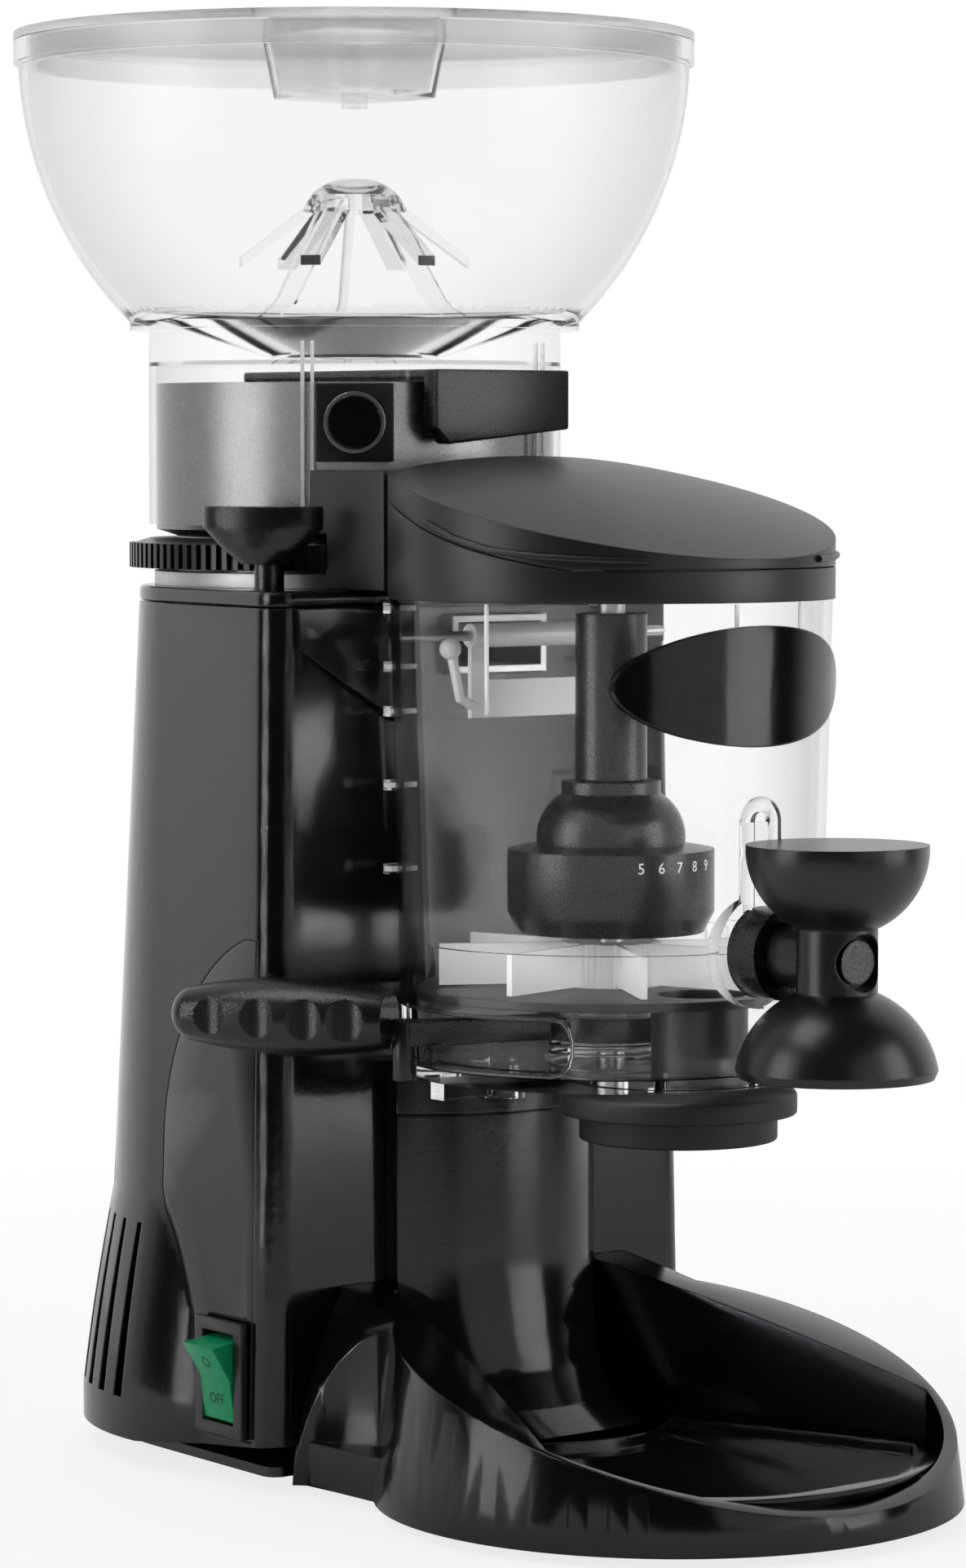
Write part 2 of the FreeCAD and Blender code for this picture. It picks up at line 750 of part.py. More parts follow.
def bottom_plate():
    """Plate under the tower with a tongue that carries the bowl floor."""
    section = Part.Face(tower_section(SKIRT_REAR, TOWER_WALL + FIT))
    plate = section.extrude(V(0, 0, BOTTOM_T))
    plate.translate(V(0, 0, bottom_z() - SKIRT_REAR))
    tongue = block(-COLUMN_HALF, COLUMN_HALF, -BOWL_Y, 0.0, bottom_z(), bottom_z() + BOTTOM_T)
    return plate.fuse(tongue).removeSplitter()


def rubber_feet():
    feet = []
    for side in (-1, 1):
        feet.append(cylinder(FOOT_R, 0.0, foot_top(), side * FRONT_FOOT_X, -FRONT_FOOT_Y))
        feet.append(cylinder(FOOT_R, 0.0, bottom_z(), side * REAR_FOOT_X, REAR_FOOT_Y))
    return feet


def tray_face(inset, z):
    """Tray outline: hollow rear edge, straight sides that spread, round front."""
    back = TRAY_BACK + inset
    narrow = TRAY_BACK_HALF - inset
    radius = TRAY_R - inset
    side_y = BOWL_Y + TRAY_LEAD
    side_x = math.sqrt(radius ** 2 - TRAY_LEAD ** 2)
    hollow = V(0, -back - TRAY_HOLLOW, z)
    return outline(V(-side_x, -side_y, z), V(-narrow, -back, z), (hollow, V(narrow, -back, z)),
                   V(side_x, -side_y, z), (V(0, -BOWL_Y - radius, z), V(-side_x, -side_y, z)))


def drip_tray():
    """Shallow tray with a finger tab along its round front."""
    z0 = BOWL_FLOOR + FIT
    z1 = z0 + TRAY_H
    tray = tray_face(0.0, z0).extrude(V(0, 0, TRAY_H))
    tray = tray.cut(tray_face(TRAY_T, z0 + TRAY_T).extrude(V(0, 0, TRAY_H)))
    lip = tube(TRAY_R + TRAY_TAB, TRAY_R - TRAY_T, z1 - TRAY_T, z1, 0.0, -BOWL_Y)
    centre = V(0, -BOWL_Y, 0)
    left = centre + heading(-TRAY_TAB_SPAN) * FAR
    right = centre + heading(TRAY_TAB_SPAN) * FAR
    wedge = outline(centre, left, centre + heading(0) * FAR, right)
    return tray.fuse(lip.common(wedge.extrude(V(0, 0, FAR)))).removeSplitter()


# Switch and gland


def switch_bezel():
    """Frame on the side with a sleeve behind it and the pivot of the rocker."""
    w = SWITCH_W / 2
    h = SWITCH_H / 2
    half, high = switch_hole()
    inner = ROCKER_DEPTH + SLIDE
    plate = block(-BEZEL_T, 0.0, -w, w, -h, h)
    wide = half + SWITCH_WALL
    tall = high + SWITCH_WALL
    sleeve = block(0.0, inner, -wide, wide, -tall, tall)
    hole = block(-FAR, FAR, -half, half, -high, high)
    pivot = rod(PIVOT_R, V(PIVOT_DEPTH, -half - 1.0, 0), V(PIVOT_DEPTH, half + 1.0, 0))
    return on_side(fused([plate.cut(hole), sleeve.cut(hole), pivot]))


def rocker_tip():
    """Height of the proud corner that still clears the frame once the rocker is tilted."""
    tilt = math.radians(ROCKER_TILT)
    out = BEZEL_T + ROCKER_RISE + PIVOT_DEPTH
    return (ROCKER_HALF_H + ROCKER_ROOM - FIT - out * math.sin(tilt)) / math.cos(tilt)


def rocker():
    """Two-faced paddle: its upper end stands proud while the switch is off."""
    half = ROCKER_W / 2
    high = ROCKER_HALF_H
    sunk = -BEZEL_T + 0.6
    face = outline(V(sunk, -half, -high), V(sunk - 1.6, -half, 0),
                   V(-BEZEL_T - ROCKER_RISE, -half, rocker_tip()),
                   V(ROCKER_DEPTH, -half, high), V(ROCKER_DEPTH, -half, -high))
    body = face.extrude(V(0, ROCKER_W, 0))
    bore = rod(PIVOT_R + RUN, V(PIVOT_DEPTH, -FAR, 0), V(PIVOT_DEPTH, FAR, 0))
    return on_side(body.cut(bore))


def cable_gland():
    """Round inlet bush in the rear of the bell."""
    outer = BELL_R
    body = rod(GLAND_R, V(0, outer - 14.0, GLAND_Z), V(0, outer + 1.0, GLAND_Z))
    collar = rod(GLAND_R + 3.0, V(0, 0, GLAND_Z), V(0, outer - 1.5, GLAND_Z))
    bore = rod(GLAND_R - 4.0, V(0, 0, GLAND_Z), V(0, FAR, GLAND_Z))
    shell = bell_block(0.0).fuse(tower_block(0.0))
    return body.fuse(collar.cut(shell)).cut(bore).removeSplitter()


# Motor


def motor_stator():
    stator = tube(STATOR_R, STATOR_BORE, STATOR_FOOT, STATOR_TOP)
    for hole in tie_places(cylinder(TIE_R + RUN, 0, FAR, 0.0, -TIE_PCR)):
        stator = stator.cut(hole)
    return stator


def motor_windings():
    ring = STATOR_R - 5.0
    bore = STATOR_BORE + 2.0
    return [tube(ring, bore, STATOR_FOOT - WINDING_H, STATOR_FOOT),
            tube(ring, bore, STATOR_TOP, STATOR_TOP + WINDING_H)]


def motor_rotor():
    return tube(STATOR_BORE - AIR_GAP, SHAFT_R, STATOR_FOOT - 4.0, STATOR_TOP + 4.0)


def fan_z():
    return LOWER_BRACKET_Z - FAN_H - 4.0


def motor_shaft():
    return cylinder(SHAFT_R, fan_z(), LOWER_BURR_Z - FIT)


def bearing_bore(z):
    return cylinder(BEARING_R, z, z + BEARING_H)


def bearing_places():
    return LOWER_BRACKET_Z - BEARING_H + BRACKET_T, CHAMBER_FOOT


def bearings():
    return [tube(BEARING_R, SHAFT_R + RUN, z, z + BEARING_H) for z in bearing_places()]


def tie_places(shape):
    return [turned(s, 45) for s in around(shape, 4)]


def lower_bracket():
    """Round end plate with a cup for its bearing and holes for the tie rods."""
    z0 = LOWER_BRACKET_Z
    seat = bearing_places()[0]
    plate = cylinder(BRACKET_R, z0, z0 + BRACKET_T)
    cup = cylinder(BEARING_R + 4.0, seat, z0 + BRACKET_T)
    plate = plate.fuse(cup).cut(bearing_bore(seat)).removeSplitter()
    for hole in tie_places(cylinder(TIE_R, 0, FAR, 0.0, -TIE_PCR)):
        plate = plate.cut(hole)
    return plate


def tie_top():
    return CHAMBER_FOOT + (CHAMBER_FLOOR - CHAMBER_FOOT) * 0.8


def tie_rods():
    """Long bolts from the lower plate through the stator into the chamber."""
    shank = cylinder(TIE_R, LOWER_BRACKET_Z - 3.0, tie_top(), 0.0, -TIE_PCR)
    head = cylinder(TIE_R * 1.4, LOWER_BRACKET_Z - 3.0, LOWER_BRACKET_Z, 0.0, -TIE_PCR)
    return tie_places(shank.fuse(head).removeSplitter())


def cooling_fan():
    z0 = fan_z()
    hub = tube(SHAFT_R + 5.0, SHAFT_R, z0, z0 + FAN_H)
    disc = tube(FAN_R, SHAFT_R, z0 + FAN_H - 2.0, z0 + FAN_H)
    blade = block(-0.9, 0.9, -FAN_R + 1.0, -SHAFT_R - 3.0, z0, z0 + FAN_H - 1.0)
    return fused([hub, disc] + around(blade, FAN_BLADES))


# Grinding head


def stop_guide():
    """Lug on the chamber that guides the lower end of the stop pin."""
    pin = stop_pin_place()
    low = STOP_PIN_LOW
    high = STOP_PIN_LOW + STOP_GUIDE_H
    post = cylinder(STOP_PIN_R + 2.2, low, high, pin.x, pin.y)
    arm = block(-4.0, 4.0, -pin.Length, -CHAMBER_R + 4.0, low + 1.0, high - 1.0)
    arm = turned(arm, -math.degrees(math.atan2(STOP_X, STOP_Y)))
    return post.fuse(arm).cut(cylinder(STOP_PIN_R + RUN, 0, FAR, pin.x, pin.y))


def grind_chamber():
    """Cast housing: bearing seat below, burr bore above, flange on the cap, outlet duct ahead."""
    body = cylinder(CHAMBER_R, CHAMBER_FOOT, FLANGE_TOP)
    flange = cylinder(FLANGE_R, TOWER_TOP, FLANGE_TOP)
    body = fused([body, flange, chute_box(CHUTE_WALL), stop_guide()])
    body = body.cut(cylinder(CHAMBER_BORE, CHAMBER_FLOOR, FAR))
    body = body.cut(cylinder(THREAD_R + FIT, UPPER_BURR_Z - FIT, FAR))
    body = body.cut(bearing_bore(CHAMBER_FOOT)).cut(cylinder(SHAFT_R + 1.0, 0, FAR))
    for hole in tie_places(cylinder(TIE_R, 0, tie_top(), 0.0, -TIE_PCR)):
        body = body.cut(hole)
    return body.cut(chute_box(0.0))


def lower_burr_carrier():
    z0 = LOWER_BURR_Z - CARRIER_T
    plate = cylinder(CARRIER_R, z0, LOWER_BURR_Z)
    hub = cylinder(SHAFT_R + 6.0, CHAMBER_FLOOR + 2.0, z0)
    sweeper = block(-1.5, 1.5, -CARRIER_R, -CARRIER_R + 8.0, CHAMBER_FLOOR + 1.5, z0)
    whole = fused([plate, hub] + around(sweeper, SWEEPERS))
    return whole.cut(cylinder(SHAFT_R, 0, LOWER_BURR_Z - FIT))


def burr(z0, z1, face_z):
    """Flat burr with a chamfered cutting eye and slanting grooves."""
    ring = tube(BURR_R, BURR_EYE, z0, z1)
    deep = 2.0
    if face_z == z1:
        eye = cone(BURR_EYE, BURR_EYE + 5.0, z1 - deep, z1)
    else:
        eye = cone(BURR_EYE + 5.0, BURR_EYE, z0, z0 + deep)
    groove = block(-0.6, 0.6, -BURR_R - 4.0, -BURR_EYE, face_z - 0.8, face_z + 0.8)
    groove = turned(groove, BURR_SLANT, 0.0, -BURR_EYE)
    return ring.cut(eye).cut(Part.makeCompound(around(groove, BURR_GROOVES)))


def upper_burr_carrier():
    """Sleeve that the hopper neck slips over, threaded below, funnel to the burr eye."""
    flare = RING_FOOT + RING_T + SLIDE
    face = outline(rz(BURR_EYE, UPPER_BURR_TOP), rz(THREAD_R, UPPER_BURR_TOP), rz(THREAD_R, flare),
                   rz(SLEEVE_R, flare + 2.0), rz(SLEEVE_R, SLEEVE_TOP),
                   rz(SLEEVE_R - SLEEVE_WALL, SLEEVE_TOP),
                   rz(SLEEVE_R - SLEEVE_WALL, BEAN_FLOOR), rz(BURR_EYE, UPPER_BURR_TOP + 6.0))
    return lathe(face)


def adjust_ring():
    """Toothed ring on the thread of the burr carrier."""
    points = []
    for k in range(2 * RING_TEETH + 1):
        a = math.pi * k / RING_TEETH
        r = RING_R - TOOTH_DEPTH * (k % 2)
        points.append(V(r * math.cos(a), r * math.sin(a), RING_FOOT))
    toothed = Part.Face(Part.makePolygon(points)).extrude(V(0, 0, RING_T - 1.4))
    top = cone(RING_R - TOOTH_DEPTH, SLEEVE_R + 2.0, RING_FOOT + RING_T - 1.4, RING_FOOT + RING_T)
    return toothed.fuse(top).cut(cylinder(THREAD_R + FIT, 0, FAR)).removeSplitter()


def stop_local(shape):
    """Turn a piece drawn at the origin so its long side follows the ring."""
    angle = math.degrees(math.atan2(STOP_Y, STOP_X))
    placed = shape.copy()
    placed.rotate(V(0, 0, 0), V(0, 0, 1), 90.0 + angle)
    placed.translate(V(-STOP_X, -STOP_Y, 0))
    return placed


def stop_pin_place():
    reach = math.hypot(STOP_X, STOP_Y)
    return V(-STOP_X, -STOP_Y, 0) * (1.0 - STOP_PIN_IN / reach)


def stop_socket():
    return STOP_FOOT + 6.0


def ring_stop():
    """Oval thumb knob with a bowl-shaped underside."""
    sections = []
    for rise, share, thick in ((0.0, 0.36, 0.7), (0.27, 0.68, 0.88), (0.63, 1.0, 1.0), (1.0, 1.0, 1.0)):
        z = STOP_FOOT + (STOP_TOP - STOP_FOOT) * rise
        ellipse = Part.Ellipse(V(0, 0, z), STOP_LONG * share, STOP_THICK * thick)
        sections.append(Part.Wire(ellipse.toShape()))
    pin = stop_pin_place()
    knob = stop_local(Part.makeLoft(sections, True, True))
    return knob.cut(cylinder(STOP_PIN_R, 0, stop_socket(), pin.x, pin.y))


def stop_collar_z():
    return CAP_FOOT - FIT - STOP_COLLAR_T


def ring_stop_pin():
    pin = stop_pin_place()
    stem = cylinder(STOP_PIN_R, STOP_PIN_LOW + 1.0, stop_socket(), pin.x, pin.y)
    collar = cylinder(STOP_PIN_R + 2.2, stop_collar_z(), stop_collar_z() + STOP_COLLAR_T, pin.x, pin.y)
    return stem.fuse(collar).removeSplitter()


def arc_between(start, knee, end):
    """Arc that leaves start towards the knee and reaches end from it."""
    middle = (start + end) * 0.5
    half = (end - start).Length / 2.0
    leg = (knee - start).Length
    rise = half * math.tan(math.acos(half / leg) / 2.0)
    return Part.Arc(start, middle + (knee - middle).normalize() * rise, end).toShape()


def coil(radius, wire, z0, z1, turns, x, y):
    """Open coil spring: one tube along pairs of arcs, a pair for each quarter turn."""
    climb = (z1 - z0 - wire) / (2.0 * math.pi * turns)
    edges = []
    quarter = math.pi / 2

    def point(a):
        return V(radius * math.cos(a), radius * math.sin(a), z0 + wire / 2 + climb * a)

    def tangent(a):
        return V(-radius * math.sin(a), radius * math.cos(a), climb).normalize()

    for k in range(4 * turns):
        p0, p1 = point(k * quarter), point((k + 1) * quarter)
        t0, t1 = tangent(k * quarter), tangent((k + 1) * quarter)
        gap = p1 - p0
        both = gap.dot(t0 + t1)
        bend = 1.0 - t0.dot(t1)
        reach = (math.sqrt(both ** 2 + 2.0 * bend * gap.dot(gap)) - both) / (2.0 * bend)
        q0, q1 = p0 + t0 * reach, p1 - t1 * reach
        join = (q0 + q1) * 0.5
        edges.append(arc_between(p0, q0, join))
        edges.append(arc_between(join, q1, p1))
    section = Part.Wire(Part.Circle(point(0.0), tangent(0.0), wire / 2).toShape())
    solid = Part.Wire(edges).makePipeShell([section], True, False)
    solid.translate(V(x, y, 0))
    print("coil gap", round(climb * 2.0 * math.pi - wire, 2))
    return solid


def stop_spring():
    pin = stop_pin_place()
    low = STOP_PIN_LOW + STOP_GUIDE_H + FIT
    high = stop_collar_z() - FIT
    return coil(STOP_PIN_R + 1.1, SPRING_WIRE, low, high, STOP_SPRING_TURNS, pin.x, pin.y)


# Hopper


def bowl_side(inset):
    """Start, middle and end of the swelling bowl side."""
    low = rz(BOWL_FOOT_R - inset, BOWL_FOOT_Z)
    high = rz(RIM_R - LIP_OVER - inset, RIM_Z - LIP_H)
    chord = high - low
    out = V(chord.z, 0, -chord.x).normalize()
    return low, (low + high) * 0.5 + out * BOWL_SWELL, high


def hopper():
    """Bowl, funnel floor and neck in one clear moulding."""
    low, mid, high = bowl_side(0.0)
    low_in, mid_in, high_in = bowl_side(HOPPER_WALL)
    floor_z = BOWL_FOOT_Z - THROAT_DROP
    neck_in = NECK_R - NECK_WALL
    face = outline(rz(neck_in, NECK_FOOT), rz(NECK_R, NECK_FOOT), rz(NECK_R, BOWL_FOOT_Z - HOPPER_WALL),
                   rz(BOWL_FOOT_R, BOWL_FOOT_Z - HOPPER_WALL), low, (mid, high), rz(RIM_R, high.z),
                   rz(RIM_R, RIM_Z), rz(high_in.x, RIM_Z),
                   high_in, (mid_in, rz(low_in.x, low_in.z + HOPPER_WALL)),
                   rz(THROAT_R, floor_z), rz(THROAT_R, floor_z - HOPPER_WALL / 2),
                   rz(neck_in - 1.0, floor_z - HOPPER_WALL / 2), rz(neck_in, floor_z - HOPPER_WALL))
    bowl = lathe(face)
    slot = block(-GATE_HALF - SLIDE, GATE_HALF + SLIDE, -FAR, 0.0, GATE_Z - SLIDE, GATE_Z + GATE_T + SLIDE)
    bowl = bowl.cut(slot)
    return bowl.cut(lock_rod(LOCK_STEM_R + FIT, NECK_R - 6.0, NECK_R + 6.0))


def lock_rod(r, start, end):
    out = heading(LOCK_TURN)
    rise = V(0, 0, LOCK_Z)
    return rod(r, out * start + rise, out * end + rise)


def rounded_square(half, radius, z):
    face = Part.Face(Part.makePolygon([V(-half, -half, z), V(half, -half, z), V(half, half, z),
                                       V(-half, half, z), V(-half, -half, z)]))
    prism = face.extrude(V(0, 0, 1.0))
    upright = [e for e in prism.Edges if abs(e.Vertexes[0].Z - e.Vertexes[1].Z) > 0.5]
    return [f for f in prism.makeFillet(radius, upright).Faces if f.CenterOfMass.z < z + 0.01][0].OuterWire


def pocket(shrink):
    """Tapered finger pocket in the middle of the hopper lid."""
    top = LID_TOP + LID_CROWN + 1.0
    foot = LID_TOP - POCKET_DEEP + shrink
    wires = [rounded_square(POCKET_FOOT_W / 2 - shrink, 7.0 - shrink, foot),
             rounded_square(POCKET_W / 2 - shrink, 9.0 - shrink, top)]
    return Part.makeLoft(wires, True, True)


def hopper_lid():
    """Shallow crown with a plug skirt and a finger pocket."""
    seat = RIM_Z + FIT
    plug = RIM_R - LIP_OVER - HOPPER_WALL - 2 * SLIDE
    inner = plug - LID_WALL
    crown = LID_TOP + LID_CROWN
    rise = rz(RIM_R / 2, LID_TOP + LID_CROWN * 0.75)
    under = rz(inner / 2, seat + (crown - LID_WALL - seat) * 0.75)
    face = outline(rz(inner, seat), (under, rz(0, crown - LID_WALL)), rz(0, crown),
                   (rise, rz(RIM_R, LID_TOP)),
                   rz(RIM_R, seat), rz(plug, seat), rz(plug, seat - LID_PLUG), rz(inner, seat - LID_PLUG))
    cup = pocket(0.0).common(cylinder(FAR, 0, LID_TOP + LID_CROWN / 2))
    nub = cylinder(4.0, LID_TOP - POCKET_DEEP - 3.0, LID_TOP - POCKET_DEEP + 1.0)
    return fused([lathe(face), cup, nub]).cut(pocket(LID_WALL))


def finger_guard():
    """Clear umbrella that keeps fingers away from the burrs."""
    cap_low = GUARD_TOP - GUARD_CAP_H
    dome = lathe(outline(rz(0, GUARD_TOP), (rz(GUARD_CAP_R * 0.72, GUARD_TOP - 3.0),
                         rz(GUARD_CAP_R, cap_low)),
                         rz(0, cap_low)))
    dome = dome.cut(cylinder(GUARD_CAP_R - 3.0, 0, GUARD_TOP - 5.0))
    arm_face = outline(yz(-GUARD_CAP_R + 4.0, cap_low), yz(-GUARD_CAP_R + 4.0, cap_low + 4.0),
                       yz(-GUARD_REACH, GUARD_ARM_Z + 3.0), yz(-GUARD_REACH, GUARD_ARM_Z))
    arms = around(across(arm_face, -3.2, 3.2), GUARD_ARMS)
    foot_z = BOWL_FOOT_Z - THROAT_DROP
    foot_r = GUARD_REACH + 2.0
    lift = (foot_r - THROAT_R) * (THROAT_DROP + HOPPER_WALL) / (BOWL_FOOT_R - HOPPER_WALL - THROAT_R)
    fin_face = outline(yz(-5.0, cap_low + 2.0), yz(-GUARD_CAP_R + 3.0, cap_low + 2.0),
                       yz(-foot_r, foot_z + lift + 0.2),
                       yz(-foot_r + 7.0, foot_z + lift + 0.2))
    fins = [turned(f, 30) for f in around(across(fin_face, -1.0, 1.0), GUARD_FINS)]
    return fused([dome] + arms + fins)


def gate():
    """Shut-off slide with a turned-down pull in front of the neck."""
    face_y = NECK_R + 2.5
    plate = block(-GATE_HALF, GATE_HALF, -face_y - HANDLE_T, GATE_BACK, GATE_Z, GATE_Z + GATE_T)
    low = GATE_Z + GATE_T - HANDLE_DROP - GATE_T
    pull = outline(V(-HANDLE_HALF, -face_y, GATE_Z + GATE_T), V(HANDLE_HALF, -face_y, GATE_Z + GATE_T),
                   V(HANDLE_HALF, -face_y, low + HANDLE_RISE), V(-HANDLE_HALF + 5.0, -face_y, low),
                   V(-HANDLE_HALF, -face_y, low + 5.0))
    pull = pull.extrude(V(0, -HANDLE_T, 0))
    tongue = plate.common(cylinder(SLEEVE_R - SLIDE, 0, FAR).fuse(block(-FAR, FAR, -FAR, 0, 0, FAR)))
    return tongue.fuse(pull).removeSplitter()


def lock_block():
    """Black seat of the lock knob on the neck."""
    half = LOCK_BLOCK_HALF
    shape = block(-half, half, -NECK_R - LOCK_BLOCK_T, -NECK_R + 8.0, LOCK_Z - LOCK_BLOCK_H / 2,
                  LOCK_Z + LOCK_BLOCK_H / 2)
    shape = turned(shape, LOCK_TURN).cut(cylinder(NECK_R + 0.1, 0, FAR))
    return shape.cut(lock_rod(LOCK_STEM_R + FIT, NECK_R - 6.0, NECK_R + 20.0))


def lock_start():
    return NECK_R + LOCK_BLOCK_T + FIT


def lock_knob():
    start = lock_start()
    knob = lock_rod(LOCK_R - 1.2, start, start + LOCK_LONG)
    stem = lock_rod(LOCK_STEM_R, NECK_R - NECK_WALL, start)
    return knob.fuse(stem).removeSplitter()


def lock_knob_ring():
    start = lock_start()
    ring = lock_rod(LOCK_R, start + 1.0, start + LOCK_LONG - 0.6)
    return ring.cut(lock_rod(LOCK_R - 1.2, start - 1.0, start + LOCK_LONG + 1.0))


# Doser


def cup_cone(offset):
    slope = (CUP_TOP_R - CUP_FOOT_R) / (CUP_TOP - CUP_FOOT)
    rise = 40.0
    return cone(CUP_FOOT_R - rise * slope + offset, CUP_TOP_R + rise * slope + offset, CUP_FOOT - rise,
                CUP_TOP + rise, 0.0, -DOSER_Y)


def ahead(distance):
    """Half space ahead of a plane across the machine."""
    return block(-FAR, FAR, -FAR, -distance, -FAR, FAR)


def slot_wedge(z0, z1):
    """Sector of the lever slot on the left of the cup."""
    centre = V(0, -DOSER_Y, z0)
    a = heading(-SLOT_FRONT) * FAR
    b = heading(-(SLOT_FRONT + SLOT_REAR) / 2) * FAR
    c = heading(-SLOT_REAR) * FAR
    return outline(centre, centre + a, centre + b, centre + c).extrude(V(0, 0, z1 - z0))


def cup_lugs():
    """Small ears on the rear edges of the cup."""
    ears = []
    y = -CUP_BACK - 2.0
    for z in LUG_Z:
        for side in (-1, 1):
            half = math.sqrt((CUP_TOP_R - 2.0) ** 2 - (DOSER_Y + y) ** 2)
            tip = side * (half + LUG_REACH)
            ears.append(block(min(0, tip), max(0, tip), y - 4.0, y, z - LUG_T / 2, z + LUG_T / 2))
    return ears


def doser_cup():
    """Clear cup with a flat back, a thick lower band and the lever slot."""
    slab = block(-FAR, FAR, -FAR, FAR, CUP_FOOT, CUP_TOP)
    outer = cup_cone(0.0).common(slab).common(ahead(CUP_BACK))
    inner = cup_cone(-CUP_WALL).common(ahead(CUP_BACK + CUP_WALL))
    band = block(-FAR, FAR, -FAR, FAR, 0.0, RING_BAND_TOP)
    narrow = cup_cone(-CUP_WALL - RING_BAND_T).common(ahead(CUP_BACK + CUP_WALL))
    hollow = inner.cut(band).fuse(narrow.common(band))
    cup = outer.cut(hollow)
    ears = [e.cut(cup_cone(-CUP_WALL / 2)) for e in cup_lugs()]
    cup = fused([cup] + ears)
    cup = cup.cut(slot_wedge(SLOT_FOOT, SLOT_TOP))
    return cup.cut(chute_box(CHUTE_WALL + FIT))


def inside_cup(z0, z1, gap):
    shape = cup_cone(-CUP_WALL - RING_BAND_T - gap).common(ahead(CUP_BACK + CUP_WALL + gap))
    return shape.common(block(-FAR, FAR, -FAR, FAR, z0, z1))


def doser_base():
    """Plate under the cup; the spout and the shaft go through it."""
    plate = cup_cone(0.0).common(ahead(CUP_BACK)).common(
        block(-FAR, FAR, -FAR, FAR, CUP_FOOT - BASE_PLATE_T, CUP_FOOT))
    plate = plate.cut(cylinder(OUTLET_R + OUTLET_WALL + FIT, 0, FAR, 0.0, -OUTLET_Y))
    plate = plate.cut(cylinder(STAR_SHAFT_R + RUN, 0, FAR, 0.0, -DOSER_Y))
    return fused([plate] + base_rib())


def base_rib():
    """Cross rib under the base plate with two open screw bosses."""
    top = CUP_FOOT - BASE_PLATE_T
    foot = top - RIB_DEEP
    whole = block(-RIB_HALF, RIB_HALF, -RIB_Y - RIB_T, -RIB_Y, foot, top)
    middle = -RIB_Y - RIB_T / 2
    for side in (-1, 1):
        whole = whole.fuse(cylinder(RIB_BOSS_R, foot - 1.0, top, side * RIB_BOSS_X, middle))
    for side in (-1, 1):
        whole = whole.cut(cylinder(RIB_BOSS_BORE, 0, top - 1.5, side * RIB_BOSS_X, middle))
    return [whole]


def doser_bracket():
    """Black support between the column and the cup."""
    top = CUP_FOOT - BASE_PLATE_T
    ends = [column_wire(COLUMN_TOP + FIT, COLUMN_BULGE), column_wire(top, COLUMN_BULGE)]
    solid = Part.makeLoft(ends, True, True)
    relief = cylinder(SPOUT_FLANGE_R + 3.0, 0, FAR, 0.0, -SPOUT_Y)
    return solid.cut(relief)


def doser_floor():
    """Floor of the measuring wheel with the drop opening and its tube."""
    plate = inside_cup(STAR_FLOOR_Z, STAR_FLOOR_Z + STAR_FLOOR_T, FIT)
    foot = CUP_FOOT - BASE_PLATE_T
    drop = tube(OUTLET_R + OUTLET_WALL, OUTLET_R, foot, STAR_FLOOR_Z + 1.0, 0.0, -OUTLET_Y)
    plate = plate.cut(cylinder(HUB_R + FIT + SLIDE, 0, FAR, 0.0, -DOSER_Y))
    plate = plate.cut(cylinder(OUTLET_R, 0, FAR, 0.0, -OUTLET_Y))
    return plate.fuse(drop).removeSplitter()


def star_wheel():
    """Measuring wheel: a fluted hub with thin vanes."""
    hub = cylinder(HUB_R, STAR_FOOT, STAR_TOP, 0.0, -DOSER_Y)
    flute = cylinder(FLUTE_R, STAR_FOOT - 1.0, STAR_TOP + 1.0, 0.0, -DOSER_Y - HUB_R)
    for groove in around(flute, FLUTES, 0.0, -DOSER_Y):
        hub = hub.cut(groove)
    foot = STAR_FLOOR_Z + STAR_FLOOR_T + SLIDE
    reach = min(STAR_R, DOSER_Y - CUP_BACK - CUP_WALL - 1.0)
    vane = block(-VANE_T / 2, VANE_T / 2, -DOSER_Y - reach, -DOSER_Y - HUB_R + FLUTE_R + 2.0, foot, STAR_TOP)
    whole = fused([hub] + around(turned(vane, 15.0, 0.0, -DOSER_Y), STAR_VANES, 0.0, -DOSER_Y))
    return whole.cut(cylinder(STAR_SHAFT_R, 0, FAR, 0.0, -DOSER_Y))


def bridge_z():
    return CUP_TOP + 1.0


def star_shaft():
    return cylinder(STAR_SHAFT_R, CUP_FOOT - BASE_PLATE_T, bridge_z() + BRIDGE_H, 0.0, -DOSER_Y)


def dose_column():
    return tube(COLUMN_R, STAR_SHAFT_R, CONE_TOP + FIT, COLUMN_HEAD, 0.0, -DOSER_Y)


def dose_cone():
    """Black cover over the wheel hub, with a dome on its shoulder."""
    face = outline(rz(STAR_SHAFT_R, CONE_FOOT), rz(CONE_R - 3.0, CONE_FOOT), rz(CONE_R, CONE_FOOT + 6.0),
                   rz(CONE_R, CONE_FOOT + CONE_STEP_H - 1.5), rz(CONE_STEP_R, CONE_FOOT + CONE_STEP_H),
                   (rz(CONE_STEP_R - 2.0, CONE_FOOT + CONE_H * 0.8), rz(CONE_NECK_R, CONE_TOP - 3.6)),
                   rz(CONE_NECK_R, CONE_TOP), rz(STAR_SHAFT_R, CONE_TOP))
    return lathe(face, 0.0, -DOSER_Y)


